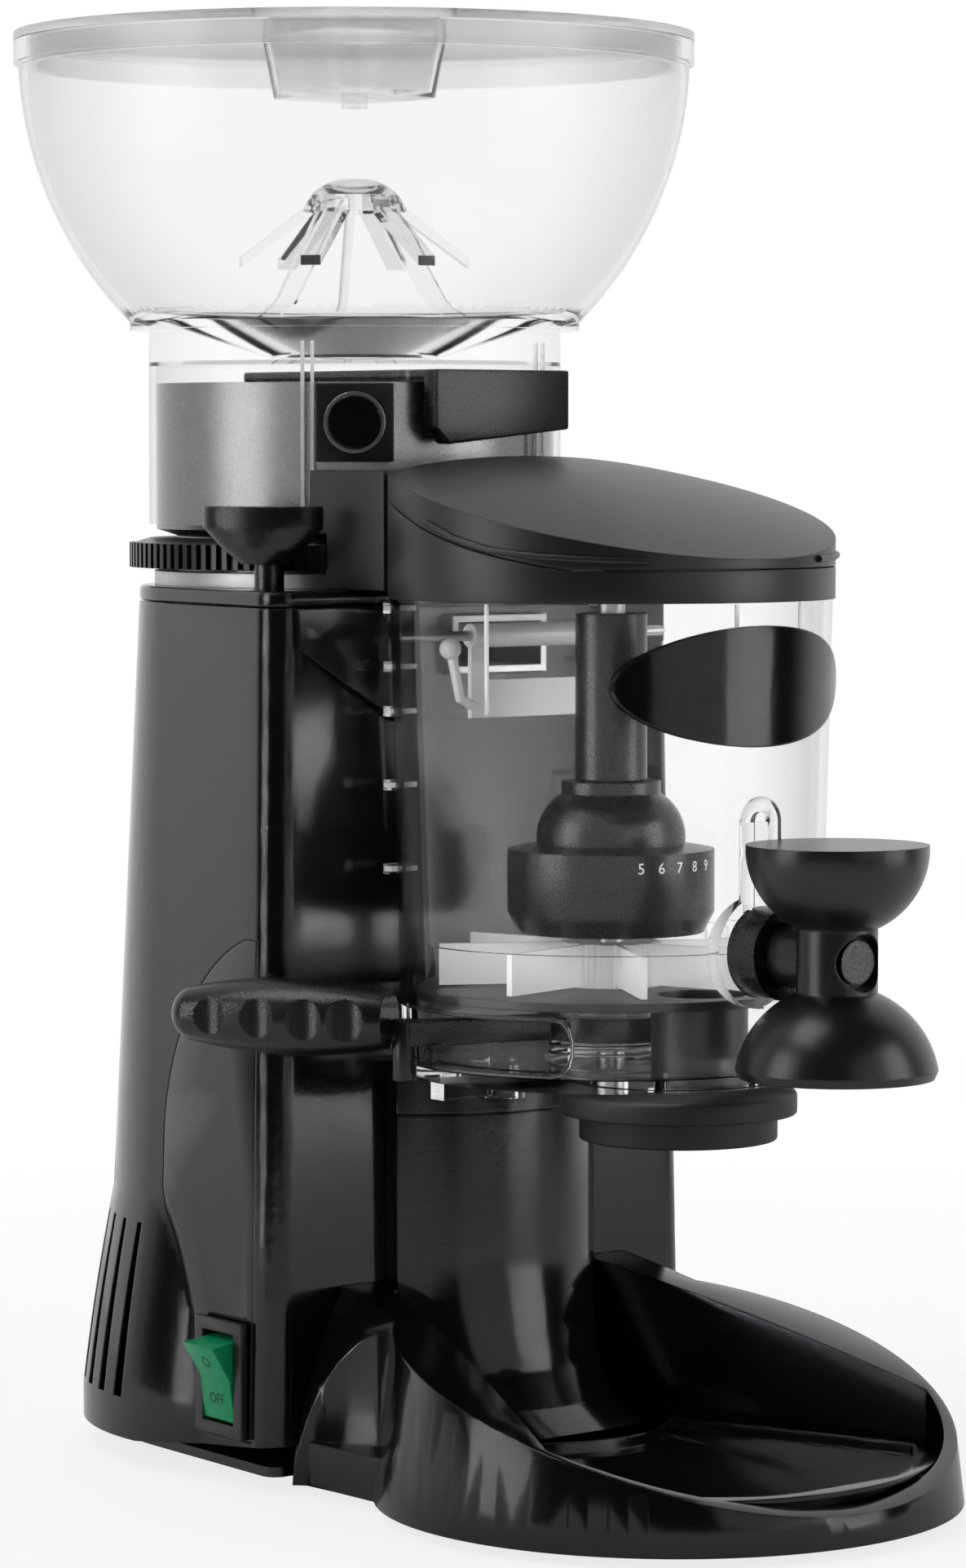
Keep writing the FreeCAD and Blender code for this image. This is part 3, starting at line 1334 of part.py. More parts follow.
def shaft_bridge():
    """Bar across the collar that steadies the head of the wheel shaft."""
    bar = block(-FAR, FAR, -DOSER_Y - 6.0, -DOSER_Y + 6.0, bridge_z(), bridge_z() + BRIDGE_H)
    bar = bar.common(cylinder(COLLAR_R - COLLAR_WALL / 2, 0, FAR, 0.0, -DOSER_Y))
    boss = cylinder(COLUMN_R, bridge_z(), bridge_z() + BRIDGE_H, 0.0, -DOSER_Y)
    return bar.fuse(boss).cut(cylinder(STAR_SHAFT_R + RUN, 0, FAR, 0.0, -DOSER_Y))


def under_seam(gap):
    """Everything below the seam between collar and lid."""
    back = -LID_BACK
    face = outline(yz(-FAR, SEAM_FRONT_Z + gap), yz(-SEAM_BEND_Y, SEAM_FRONT_Z + gap),
                   (yz(-SEAM_MID_Y, SEAM_MID_Z + gap), yz(back - 20.0, SEAM_REAR_Z - 5.4 + gap)),
                   yz(back, SEAM_REAR_Z + gap), yz(0, SEAM_REAR_Z + gap), yz(0, 0), yz(-FAR, 0))
    return across(face, -FAR, FAR)


def doser_collar():
    ring = tube(COLLAR_R, COLLAR_R - COLLAR_WALL, CUP_TOP, HOOD_TOP, 0.0, -DOSER_Y)
    back = cylinder(COLLAR_R, CUP_TOP, HOOD_TOP, 0.0, -DOSER_Y).common(
        block(-FAR, FAR, -CUP_BACK - COLLAR_BACK, -CUP_BACK, 0, FAR))
    ring = ring.common(ahead(CUP_BACK)).fuse(back).common(under_seam(0.0))
    ring = ring.cut(cylinder(RING_R + SLIDE, RING_FOOT - SLIDE, RING_FOOT + RING_T + SLIDE))
    ring = ring.cut(cylinder(NECK_R + SLIDE, NECK_FOOT - SLIDE, FAR))
    return ring.fuse(shaft_bridge()).removeSplitter()


def hinge_axis():
    return -LID_BACK + HINGE_R + 0.4, HOOD_TOP - HINGE_R


def duct_hood():
    """Cover from the doser back to the hopper neck, open below and behind."""
    y, z = hinge_axis()
    front = y + HINGE_R + 0.6
    foot = TOWER_TOP + FIT
    hood = block(-HOOD_HALF, HOOD_HALF, front, -HOOD_BACK, foot, HOOD_TOP)
    inner = HOOD_HALF - HOOD_WALL
    hood = hood.cut(block(-inner, inner, -FAR, 0, 0, HOOD_TOP - HOOD_WALL))
    hood = hood.cut(cylinder(NECK_R + 2.2, 0, FAR))
    hood = hood.cut(cylinder(RING_R + 2.0, 0, RING_FOOT + RING_T + 2.0))
    hood = hood.cut(cylinder(COLLAR_R + FIT, 0, SEAM_REAR_Z + FIT, 0.0, -DOSER_Y))
    pieces = [hood]
    for side in (-1, 1):
        x0 = min(side * HINGE_IN, side * HINGE_OUT)
        x1 = max(side * HINGE_IN, side * HINGE_OUT)
        knuckle = rod(HINGE_R, V(x0, y, z), V(x1, y, z))
        pieces.append(knuckle.fuse(block(x0, x1, y, front + 1.0, z - HINGE_R, z + HINGE_R)))
    hood = fused(pieces)
    return hood.cut(rod(HINGE_PIN_R, V(-FAR, y, z), V(FAR, y, z)))


def lid_hinge_pin():
    y, z = hinge_axis()
    return rod(HINGE_PIN_R, V(-HINGE_OUT, y, z), V(HINGE_OUT, y, z))


def lid_dome(shrink):
    """Round column closed by a sloping domed top."""
    back = -DOSER_Y + COLLAR_R
    front = -DOSER_Y - COLLAR_R
    slope = math.atan2(LID_BACK_Z - LID_FRONT_Z, back - front)
    normal = V(0, -math.sin(slope), math.cos(slope))
    half = COLLAR_R / math.cos(slope)
    radius = (half ** 2 + LID_DOME ** 2) / (2 * LID_DOME)
    middle = V(0, -DOSER_Y, (LID_BACK_Z + LID_FRONT_Z) / 2)
    ball = Part.makeSphere(radius - shrink, middle + normal * (LID_DOME - radius))
    column = cylinder(COLLAR_R - shrink, SEAM_FRONT_Z - 40.0, LID_BACK_Z + 40.0, 0.0, -DOSER_Y)
    return column.common(ball)


def doser_lid():
    """Domed cap whose lower edge follows the swept seam."""
    shell = lid_dome(0.0).cut(lid_dome(DOSER_LID_WALL)).cut(under_seam(FIT + 0.1)).common(ahead(LID_BACK))
    dome = lid_dome(0.0).cut(under_seam(FIT + 0.1))
    rear = dome.common(ahead(LID_BACK)).cut(ahead(LID_BACK + DOSER_LID_WALL))
    y, z = hinge_axis()
    x = HINGE_IN - FIT
    tongue = block(-x, x, -LID_BACK - 1.0, y, z - HINGE_R, z + HINGE_R)
    knuckle = rod(HINGE_R, V(-x, y, z), V(x, y, z))
    shell = fused([shell, rear, tongue, knuckle])
    return shell.cut(rod(HINGE_PIN_R + RUN, V(-FAR, y, z), V(FAR, y, z)))


def badge_plate():
    """Bare oval plate that follows the front of the cup."""
    skin = cup_cone(BADGE_T + 0.2).cut(cup_cone(0.2))
    ellipse = Part.Ellipse(V(0, 0, 0), BADGE_HALF, BADGE_HALF_H)
    face = Part.Face(Part.Wire(ellipse.toShape()))
    face.rotate(V(0, 0, 0), V(1, 0, 0), 90)
    face.translate(V(0, -DOSER_Y, BADGE_Z))
    return skin.common(face.extrude(V(0, -FAR, 0)))


def level_flap():
    """Clear flap hung in front of the chute, moved by the rising grounds."""
    y0 = -FLAP_Y
    strip = block(-FLAP_HALF, FLAP_HALF, y0 - FLAP_T, y0, FLAP_Z, FLAP_Z + FLAP_H)
    pieces = [strip]
    for side in (-1, 1):
        x = side * (FLAP_HALF - 3.0)
        pieces.append(block(x - 3.0, x + 3.0, y0 - FLAP_T, y0, FLAP_Z + FLAP_H, FLAP_PIN_Z + 3.5))
    pieces.append(rod(FLAP_PIN_R + 2.0, V(-FLAP_HALF, y0 - FLAP_T / 2, FLAP_PIN_Z),
                      V(FLAP_HALF, y0 - FLAP_T / 2, FLAP_PIN_Z)))
    whole = fused(pieces)
    return whole.cut(flap_axis_rod(FLAP_PIN_R + RUN, FAR))


def flap_axis_rod(r, half):
    y = -FLAP_Y - FLAP_T / 2
    return rod(r, V(-half, y, FLAP_PIN_Z), V(half, y, FLAP_PIN_Z))


def flap_pin():
    """Pin across the cup that carries the flap."""
    return flap_axis_rod(FLAP_PIN_R, FAR / 2).common(cup_cone(-CUP_WALL - 0.1))


def lever_arm():
    """Ring round the wheel hub with an arm out through the slot."""
    z0 = ARM_Z - ARM_H / 2
    z1 = ARM_Z + ARM_H / 2
    inner = HUB_R + SLIDE
    ring = tube(LEVER_RING_R, inner, z0, z1, 0.0, -DOSER_Y)
    post_at = lever_post()
    arm = block(-ARM_W / 2, ARM_W / 2, -CUP_FOOT_R - ARM_OUT, -inner - 2.0, z0, z1)
    arm.rotate(V(0, 0, 0), V(0, 0, 1), LEVER_TURN)
    arm.translate(V(0, -DOSER_Y, 0))
    post = cylinder(ARM_W / 2 - 0.5, CUP_FOOT - BASE_PLATE_T, z1 + 0.5, post_at.x, post_at.y)
    tooth = cylinder(FLUTE_R - SLIDE, z0, z1, -HUB_R, -DOSER_Y)
    return fused([ring, arm, post, lever_tang(), tooth])


def lever_post():
    return V(0, -DOSER_Y, 0) + heading(LEVER_TURN) * (CUP_FOOT_R + ARM_OUT)


def lever_tang():
    """Round end of the arm inside the grip."""
    root = V(GRIP_ROOT[0], GRIP_ROOT[1], 0)
    tip = V(GRIP_TIP[0], GRIP_TIP[1], 0)
    return rod(TANG_R, lever_post() + V(0, 0, ARM_Z), root + (tip - root) * 0.5 + V(0, 0, GRIP_Z - 1.0))


def scallop(root, axis, share):
    """Upright cylinder that hollows the outer face of the grip."""
    outwards = V(axis.y, -axis.x, 0).normalize()
    if outwards.x > 0:
        outwards = outwards * -1.0
    bulge = GRIP_R - (GRIP_R - GRIP_TIP_R) * (2.0 * share - 1.0) ** 2
    middle = root + axis * share + outwards * (bulge - SCALLOP_DEEP + SCALLOP_R)
    return cylinder(SCALLOP_R, 0, FAR, middle.x, middle.y)


def lever_grip():
    """Barrel-shaped hand grip, slipped over the tang of the arm."""
    root = V(GRIP_ROOT[0], GRIP_ROOT[1], GRIP_Z)
    tip = V(GRIP_TIP[0], GRIP_TIP[1], GRIP_Z)
    axis = tip - root
    length = axis.Length
    barrel = (rz(GRIP_R, length * 0.5), rz(GRIP_TIP_R, length))
    end = (rz(GRIP_TIP_R * 0.78, length + GRIP_CAP * 0.6), rz(GRIP_TIP_R * 0.3, length + GRIP_CAP))
    solid = lathe(outline(rz(0, 0), rz(GRIP_ROOT_R, 0), barrel, end, rz(0, length + GRIP_CAP)))
    solid.Placement = FreeCAD.Placement(root, FreeCAD.Rotation(V(0, 0, 1), axis))
    for share in SCALLOPS:
        solid = solid.cut(scallop(root, axis, share))
    return solid.cut(lever_tang())


def return_spring():
    z0 = CUP_FOOT + FIT
    z1 = ARM_Z - ARM_H / 2 - FIT
    return coil(RETURN_SPRING_R, RETURN_WIRE, z0, z1, RETURN_SPRING_TURNS, 0.0, -DOSER_Y)


def spout():
    """Rubber mouth under the doser."""
    top = CUP_FOOT - BASE_PLATE_T
    flange_top = SPOUT_FLANGE_Z + SPOUT_FLANGE_T
    face = outline(rz(SPOUT_BORE, SPOUT_LIP_Z), rz(SPOUT_LIP_R, SPOUT_LIP_Z),
                   rz(SPOUT_LIP_R, SPOUT_FLANGE_Z),
                   rz(SPOUT_FLANGE_R, SPOUT_FLANGE_Z), rz(SPOUT_FLANGE_R, flange_top),
                   rz(SPOUT_LIP_R, top), rz(SPOUT_BORE, top))
    return lathe(face, 0.0, -SPOUT_Y)


# Tamper


def tamper_bracket():
    """Clear boss on the cup with a finger loop above it."""
    reach = cup_cone(0.0)
    rear = -DOSER_Y - CUP_FOOT_R + 6.0
    boss = rod(BOSS_R, V(0, rear, TAMPER_Z), V(0, -BOSS_FRONT, TAMPER_Z))
    y = -DOSER_Y - CUP_FOOT_R - LOOP_OUT
    straight = LOOP_TOP - LOOP_HALF
    pieces = [boss.cut(reach)]
    for side in (-1, 1):
        pieces.append(rod(LOOP_R, V(side * LOOP_HALF, y, TAMPER_Z), V(side * LOOP_HALF, y, straight)))
    arch = Part.makeTorus(LOOP_HALF, LOOP_R, V(0, y, straight), V(0, 1, 0)).common(
        block(-FAR, FAR, -FAR, FAR, straight, FAR))
    pieces.append(arch)
    back = -DOSER_Y - CUP_FOOT_R + 4.0
    pieces.append(block(-LOOP_HALF, LOOP_HALF, y, back, TAMPER_Z, straight).cut(reach))
    whole = fused(pieces).cut(cup_cone(0.05))
    whole = whole.cut(rod(STUB_R + FIT, V(0, -BOSS_FRONT, TAMPER_Z), V(0, -FAR, TAMPER_Z)))
    return whole.cut(rod(STUB_PIN_R, V(0, -BOSS_FRONT + STUB_SEAT, TAMPER_Z), V(0, -FAR, TAMPER_Z)))


def recess_y():
    """Floor of the screw recess in the tamper."""
    return -TAMPER_Y - TAMPER_WAIST + RECESS_DEEP


def tamper_stub():
    body = rod(STUB_R, V(0, -BOSS_FRONT, TAMPER_Z), V(0, -STUB_FRONT, TAMPER_Z))
    pin = rod(STUB_PIN_R, V(0, -BOSS_FRONT + STUB_SEAT, TAMPER_Z), V(0, recess_y(), TAMPER_Z))
    return body.fuse(pin).removeSplitter()


def dome_middle(start, end):
    """Point half way along a dome, swelling away from the middle of the waist."""
    chord = end - start
    out = V(abs(chord.z), 0, -chord.x if chord.z > 0 else chord.x).normalize()
    return (start + end) * 0.5 + out * DOME_SWELL


def tamper():
    """Two-ended presser: a wide and a narrow dome on a round waist."""
    foot = rz(TAMPER_FOOT_R, TAMPER_FOOT + TAMPER_EDGE)
    foot_in = rz(TAMPER_WAIST, TAMPER_Z - WAIST_HALF_H)
    top_in = rz(TAMPER_WAIST, TAMPER_Z + WAIST_HALF_H)
    top = rz(TAMPER_TOP_R, TAMPER_TOP - TAMPER_EDGE)
    face = outline(rz(0, TAMPER_FOOT), rz(TAMPER_FOOT_R - 1.0, TAMPER_FOOT), foot,
                   (dome_middle(foot_in, foot), foot_in),
                   top_in, (dome_middle(top_in, top), top), rz(TAMPER_TOP_R, TAMPER_TOP), rz(0, TAMPER_TOP))
    hub = rod(TAMPER_HUB_R, V(0, -STUB_FRONT - FIT, TAMPER_Z), V(0, -TAMPER_Y, TAMPER_Z))
    body = lathe(face, 0.0, -TAMPER_Y).fuse(hub).removeSplitter()
    body = body.cut(rod(STUB_PIN_R + RUN, V(0, 0, TAMPER_Z), V(0, -FAR, TAMPER_Z)))
    return body.cut(rod(RECESS_R, V(0, recess_y(), TAMPER_Z), V(0, -FAR, TAMPER_Z)))


def tamper_screw():
    return rod(CAP_SCREW_R, V(0, recess_y(), TAMPER_Z), V(0, recess_y() - CAP_SCREW_T, TAMPER_Z))


def main():
    os.makedirs("parts", exist_ok=True)
    save("tower_shell", tower_shell())
    save("tower_cap", tower_cap())
    save("left_side_panel", side_panel(-1).cut(rocker_window()))
    save("right_side_panel", side_panel(1))
    save("front_plate", front_plate())
    save("front_column", front_column())
    save("base_shell", base_shell())
    save("bottom_plate", bottom_plate())
    save("rubber_feet", *rubber_feet())
    save("drip_tray", drip_tray())
    save("switch_bezel", switch_bezel())
    save("rocker", rocker())
    save("cable_gland", cable_gland())
    save("motor_stator", motor_stator())
    save("motor_windings", *motor_windings())
    save("motor_rotor", motor_rotor())
    save("motor_shaft", motor_shaft())
    save("bearings", *bearings())
    save("lower_bracket", lower_bracket())
    save("tie_rods", *tie_rods())
    save("cooling_fan", cooling_fan())
    save("grind_chamber", grind_chamber())
    save("lower_burr_carrier", lower_burr_carrier())
    save("lower_burr", burr(LOWER_BURR_Z, LOWER_BURR_TOP, LOWER_BURR_TOP))
    save("upper_burr", burr(UPPER_BURR_Z, UPPER_BURR_TOP, UPPER_BURR_Z))
    save("upper_burr_carrier", upper_burr_carrier())
    save("adjust_ring", adjust_ring())
    save("ring_stop", ring_stop())
    save("ring_stop_pin", ring_stop_pin())
    save("stop_spring", stop_spring())
    save("hopper", hopper())
    save("hopper_lid", hopper_lid())
    save("finger_guard", finger_guard())
    save("gate", gate())
    save("lock_block", lock_block())
    save("lock_knob", lock_knob())
    save("lock_knob_ring", lock_knob_ring())
    save("doser_cup", doser_cup())
    save("doser_base", doser_base())
    save("doser_bracket", doser_bracket())
    save("doser_floor", doser_floor())
    save("doser_collar", doser_collar())
    save("duct_hood", duct_hood())
    save("doser_lid", doser_lid())
    save("lid_hinge_pin", lid_hinge_pin())
    save("badge_plate", badge_plate())
    save("star_wheel", star_wheel())
    save("star_shaft", star_shaft())
    save("dose_column", dose_column())
    save("dose_cone", dose_cone())
    save("level_flap", level_flap())
    save("flap_pin", flap_pin())
    save("lever_arm", lever_arm())
    save("lever_grip", lever_grip())
    save("return_spring", return_spring())
    save("spout", spout())
    save("tamper_bracket", tamper_bracket())
    save("tamper_stub", tamper_stub())
    save("tamper", tamper())
    save("tamper_screw", tamper_screw())


main()
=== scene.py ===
# %% [markdown]
# A burr coffee grinder with a doser: a clear bean hopper stands on a black motor tower, and the ground
# coffee falls into a clear cup with a pull lever. The imported solids give every size and place, so this
# script only dresses them. The frame is loaded first.

# %% Load the frame
import json
import math
import bmesh
import bpy
from mathutils import Matrix, Vector


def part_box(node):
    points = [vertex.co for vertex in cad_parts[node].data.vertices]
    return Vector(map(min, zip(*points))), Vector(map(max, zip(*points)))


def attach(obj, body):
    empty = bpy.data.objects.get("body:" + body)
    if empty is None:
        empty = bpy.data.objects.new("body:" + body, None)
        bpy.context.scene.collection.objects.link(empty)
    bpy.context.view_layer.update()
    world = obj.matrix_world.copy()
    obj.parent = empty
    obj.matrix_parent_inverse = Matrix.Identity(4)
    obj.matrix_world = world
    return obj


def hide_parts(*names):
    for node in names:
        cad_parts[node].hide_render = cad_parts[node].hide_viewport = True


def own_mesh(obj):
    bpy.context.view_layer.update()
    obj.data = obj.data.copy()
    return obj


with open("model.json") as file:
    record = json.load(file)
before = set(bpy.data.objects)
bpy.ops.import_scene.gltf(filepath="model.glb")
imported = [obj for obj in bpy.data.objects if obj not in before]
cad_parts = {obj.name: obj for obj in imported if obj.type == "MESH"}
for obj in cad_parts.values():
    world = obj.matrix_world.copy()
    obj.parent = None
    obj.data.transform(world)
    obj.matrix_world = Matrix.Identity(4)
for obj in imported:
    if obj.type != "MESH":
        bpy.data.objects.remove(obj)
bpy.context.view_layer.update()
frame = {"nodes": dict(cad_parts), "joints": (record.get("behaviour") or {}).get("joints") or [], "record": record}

NODES = frame["nodes"]
BODY_OF = {}
for body_name, members in frame["record"]["behaviour"]["bodies"].items():
    for member in members:
        BODY_OF[member] = body_name
MM = 0.001

# %% [markdown]
# The photograph looks at the front left from a little above the middle of the machine, with a long lens.
# The camera is set from a fit to edges in the photo, which gave its turn, tilt, place and lens for an
# image of 1185 by 1923. The burr axis stands behind the middle of the footprint.

# %% Camera
BURR_Y = (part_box("hopper")[0].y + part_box("hopper")[1].y) / 2
TURN = math.radians(-39.3)
TILT = math.radians(3.65)
SENSOR_H = 36.0
IMAGE_H = 1923.0
FOCAL_PX = 6425.0         # focal length in pixels of the photo
CAMERA_PLACE = Vector((-0.9866, BURR_Y - 1.2672, 0.304))
ahead = Vector((-math.sin(TURN) * math.cos(TILT), math.cos(TURN) * math.cos(TILT), -math.sin(TILT)))
camera_data = bpy.data.cameras.new("photo_camera")
camera_data.sensor_fit = "VERTICAL"
camera_data.sensor_height = SENSOR_H
camera_data.lens = SENSOR_H * FOCAL_PX / IMAGE_H
camera = bpy.data.objects.new("photo_camera", camera_data)
camera.location = CAMERA_PLACE
camera.rotation_euler = ahead.to_track_quat("-Z", "Y").to_euler()
bpy.context.scene.collection.objects.link(camera)
bpy.context.scene.camera = camera
print("camera", [round(v, 4) for v in camera.location], "lens", round(camera_data.lens, 2))

# %% [markdown]
# A studio sweep: a pale floor that fades into a white world, and four soft lamps. Gloss black plastic
# has almost no colour of its own, so it is shaped by what it reflects. A broad lamp on the left draws the
# bright bands down round walls, and the room is dark in front, so the faces there stay black.

# %% Floor, world and lamps
AXIS = Vector((0.0, BURR_Y, 0.0))
BACKDROP_BEARING = 217.0
ROOM_DARK = 0.03
ROOM_BRIGHT = 1.0
FLOOR_REACH = 0.72
FADE_NEAR = (0.22, 0.8)   # distance from the middle, and the share of plain white there
FADE_FAR = (0.7, 1.0)


def soft_lamp(name, bearing, away, height, wide, tall, power, aim=0.25):
    """A lamp at a bearing in degrees, counted from straight ahead round to the left.

    It is sampled directly only, so that it doesn't show as a white patch through clear plastic.
    """
    turn = math.radians(bearing)
    place = AXIS + Vector((-away * math.sin(turn), -away * math.cos(turn), height))
    data = bpy.data.lights.new(name, "AREA")
    data.shape = "RECTANGLE"
    data.size = wide
    data.size_y = tall
    data.energy = power
    data.cycles.use_multiple_importance_sampling = False
    lamp = bpy.data.objects.new(name, data)
    lamp.location = place
    lamp.rotation_euler = (AXIS + Vector((0.0, 0.0, aim)) - place).to_track_quat("-Z", "Y").to_euler()
    bpy.context.scene.collection.objects.link(lamp)


def add_node(tree, kind, **values):
    node = tree.nodes.new(kind)
    for key, value in values.items():
        if hasattr(node, key):
            setattr(node, key, value)
        else:
            node.inputs[key.replace("_", " ")].default_value = value
    return node


def backdrop_factor(tree):
    """One where a ray comes from the camera or through clear plastic."""
    path = tree.nodes.new("ShaderNodeLightPath")
    either = add_node(tree, "ShaderNodeMath", operation="MAXIMUM")
    tree.links.new(path.outputs["Is Camera Ray"], either.inputs[0])
    tree.links.new(path.outputs["Is Transmission Ray"], either.inputs[1])
    return either.outputs[0]


def side_light(tree, bearing, dark, bright):
    """How bright the room is in each direction: a pale backdrop behind the machine, dark in front."""
    turn = math.radians(bearing)
    look = tree.nodes.new("ShaderNodeTexCoord")
    lean = add_node(tree, "ShaderNodeVectorMath", operation="DOT_PRODUCT")
    lean.inputs[1].default_value = (-math.sin(turn), -math.cos(turn), 0.15)
    ramp = add_node(tree, "ShaderNodeMapRange", clamp=True, interpolation_type="SMOOTHSTEP")
    ramp.inputs["From Min"].default_value = 0.1
    ramp.inputs["From Max"].default_value = 0.55
    ramp.inputs["To Min"].default_value = dark
    ramp.inputs["To Max"].default_value = bright
    tree.links.new(look.outputs["Generated"], lean.inputs[0])
    tree.links.new(lean.outputs["Value"], ramp.inputs["Value"])
    return ramp.outputs["Result"]


def pale_world():
    world = bpy.data.worlds.new("studio")
    bpy.context.scene.world = world
    world.use_nodes = True
    tree = world.node_tree
    tree.nodes.clear()
    shown = add_node(tree, "ShaderNodeBackground", Color=(1.0, 1.0, 1.0, 1.0), Strength=1.0)
    lit = add_node(tree, "ShaderNodeBackground", Color=(1.0, 1.0, 1.0, 1.0))
    mix = tree.nodes.new("ShaderNodeMixShader")
    out = tree.nodes.new("ShaderNodeOutputWorld")
    tree.links.new(side_light(tree, BACKDROP_BEARING, ROOM_DARK, ROOM_BRIGHT), lit.inputs["Strength"])
    tree.links.new(backdrop_factor(tree), mix.inputs[0])
    tree.links.new(lit.outputs[0], mix.inputs[1])
    tree.links.new(shown.outputs[0], mix.inputs[2])
    tree.links.new(mix.outputs[0], out.inputs[0])


def fade(tree, near, far):
    """The share of plain white in the floor: less close to the machine, all of it far away."""
    place = tree.nodes.new("ShaderNodeTexCoord")
    reach = add_node(tree, "ShaderNodeVectorMath", operation="LENGTH")
    ramp = add_node(tree, "ShaderNodeMapRange", clamp=True)
    ramp.inputs["From Min"].default_value = near[0]
    ramp.inputs["From Max"].default_value = far[0]
    ramp.inputs["To Min"].default_value = near[1]
    ramp.inputs["To Max"].default_value = far[1]
    tree.links.new(place.outputs["Object"], reach.inputs[0])
    tree.links.new(reach.outputs["Value"], ramp.inputs["Value"])
    return ramp.outputs["Result"]


def pale_floor():
    mesh = bpy.data.meshes.new("floor")
    r = FLOOR_REACH
    mesh.from_pydata([(-r, -r, 0), (r, -r, 0), (r, r, 0), (-r, r, 0)], [], [(0, 1, 2, 3)])
    floor = bpy.data.objects.new("floor", mesh)
    bpy.context.scene.collection.objects.link(floor)
    sheen = bpy.data.materials.new("floor_paper")
    sheen.use_nodes = True
    tree = sheen.node_tree
    tree.nodes.clear()
    paper = add_node(tree, "ShaderNodeBsdfDiffuse", Color=(0.93, 0.93, 0.93, 1.0))
    glow = add_node(tree, "ShaderNodeEmission", Color=(1.0, 1.0, 1.0, 1.0), Strength=1.0)
    share = add_node(tree, "ShaderNodeMath", operation="MULTIPLY")
    mix = tree.nodes.new("ShaderNodeMixShader")
    out = tree.nodes.new("ShaderNodeOutputMaterial")
    tree.links.new(backdrop_factor(tree), share.inputs[0])
    tree.links.new(fade(tree, FADE_NEAR, FADE_FAR), share.inputs[1])
    tree.links.new(share.outputs[0], mix.inputs[0])
    tree.links.new(paper.outputs[0], mix.inputs[1])
    tree.links.new(glow.outputs[0], mix.inputs[2])
    tree.links.new(mix.outputs[0], out.inputs[0])
    mesh.materials.append(sheen)


pale_world()
pale_floor()
soft_lamp("left_softbox", 104.0, 1.4, 0.45, 0.75, 1.3, 9.5)
soft_lamp("front_softbox", -30.0, 1.4, 0.45, 0.65, 1.2, 6.0)
soft_lamp("front_sheet", -12.0, 1.9, 0.6, 2.4, 1.6, 8.0)
soft_lamp("top_softbox", 95.0, 0.75, 1.55, 0.8, 0.8, 7.0, 0.2)
bpy.context.scene.view_settings.view_transform = "Standard"

# %% [markdown]
# Finishes. Each one is a Principled shader whose roughness and bump come from noise in the piece's own
# coordinates, at the scale that the real moulding or machining shows. A Bevel node rounds the crisp edges
# a little, because every moulded edge catches a thin line of light. The clear plastics darken towards
# their rims, where the eye looks through more of the wall. They bend light less than real plastic does,
# so that the floor of the hopper stays pale.

# %% Finishes
GRAIN_DEPTH = 0.0002
BROAD_SCALE = 26.0        # slow change of colour over a piece


def new_finish(name):
    mat = bpy.data.materials.new(name)
    mat.use_nodes = True
    tree = mat.node_tree
    return mat, tree, tree.nodes["Principled BSDF"]


def grain(tree, scale, detail=3.0, stretch=(1.0, 1.0, 1.0)):
    place = tree.nodes.new("ShaderNodeTexCoord")
    fit = tree.nodes.new("ShaderNodeMapping")
    fit.inputs["Scale"].default_value = stretch
    noise = tree.nodes.new("ShaderNodeTexNoise")
    noise.inputs["Scale"].default_value = scale
    noise.inputs["Detail"].default_value = detail
    tree.links.new(place.outputs["Object"], fit.inputs["Vector"])
    tree.links.new(fit.outputs["Vector"], noise.inputs["Vector"])
    return noise.outputs["Fac"]


def spread(tree, source, low, high):
    scale = tree.nodes.new("ShaderNodeMapRange")
    scale.inputs["From Min"].default_value = 0.3
    scale.inputs["From Max"].default_value = 0.7
    scale.inputs["To Min"].default_value = low
    scale.inputs["To Max"].default_value = high
    tree.links.new(source, scale.inputs["Value"])
    return scale.outputs["Result"]


def tint(tree, source, dark, light, start=0.3, end=0.7):
    ramp = tree.nodes.new("ShaderNodeValToRGB")
    ramp.color_ramp.elements[0].position = start
    ramp.color_ramp.elements[1].position = end
    ramp.color_ramp.elements[0].color = (*dark, 1.0)
    ramp.color_ramp.elements[1].color = (*light, 1.0)
    tree.links.new(source, ramp.inputs["Fac"])
    return ramp.outputs["Color"]


def relief(tree, shader, source, strength, depth, edge):
    bump = tree.nodes.new("ShaderNodeBump")
    bump.inputs["Strength"].default_value = strength
    bump.inputs["Distance"].default_value = depth
    tree.links.new(source, bump.inputs["Height"])
    if edge:
        rim = tree.nodes.new("ShaderNodeBevel")
        rim.samples = 4
        rim.inputs["Radius"].default_value = edge
        tree.links.new(rim.outputs["Normal"], bump.inputs["Normal"])
    tree.links.new(bump.outputs["Normal"], shader.inputs["Normal"])


def grey(level):
    return (level, level, level)


def moulded(name, dark, light, rough, scale, strength, edge, gloss=0.5, stretch=(1.0, 1.0, 1.0)):
    mat, tree, shader = new_finish(name)
    fine = grain(tree, scale, 3.0, stretch)
    broad = grain(tree, BROAD_SCALE, 2.0)
    tree.links.new(tint(tree, broad, dark, light), shader.inputs["Base Color"])
    tree.links.new(spread(tree, fine, rough[0], rough[1]), shader.inputs["Roughness"])
    relief(tree, shader, fine, strength, GRAIN_DEPTH, edge)
    shader.inputs["Specular IOR Level"].default_value = gloss
    FINISH[name] = mat
    return shader


def metal(name, dark, light, rough, scale, strength, edge, stretch=(1.0, 1.0, 1.0)):
    shader = moulded(name, grey(dark), grey(light), rough, scale, strength, edge, 0.5, stretch)
    shader.inputs["Metallic"].default_value = 1.0
    return shader


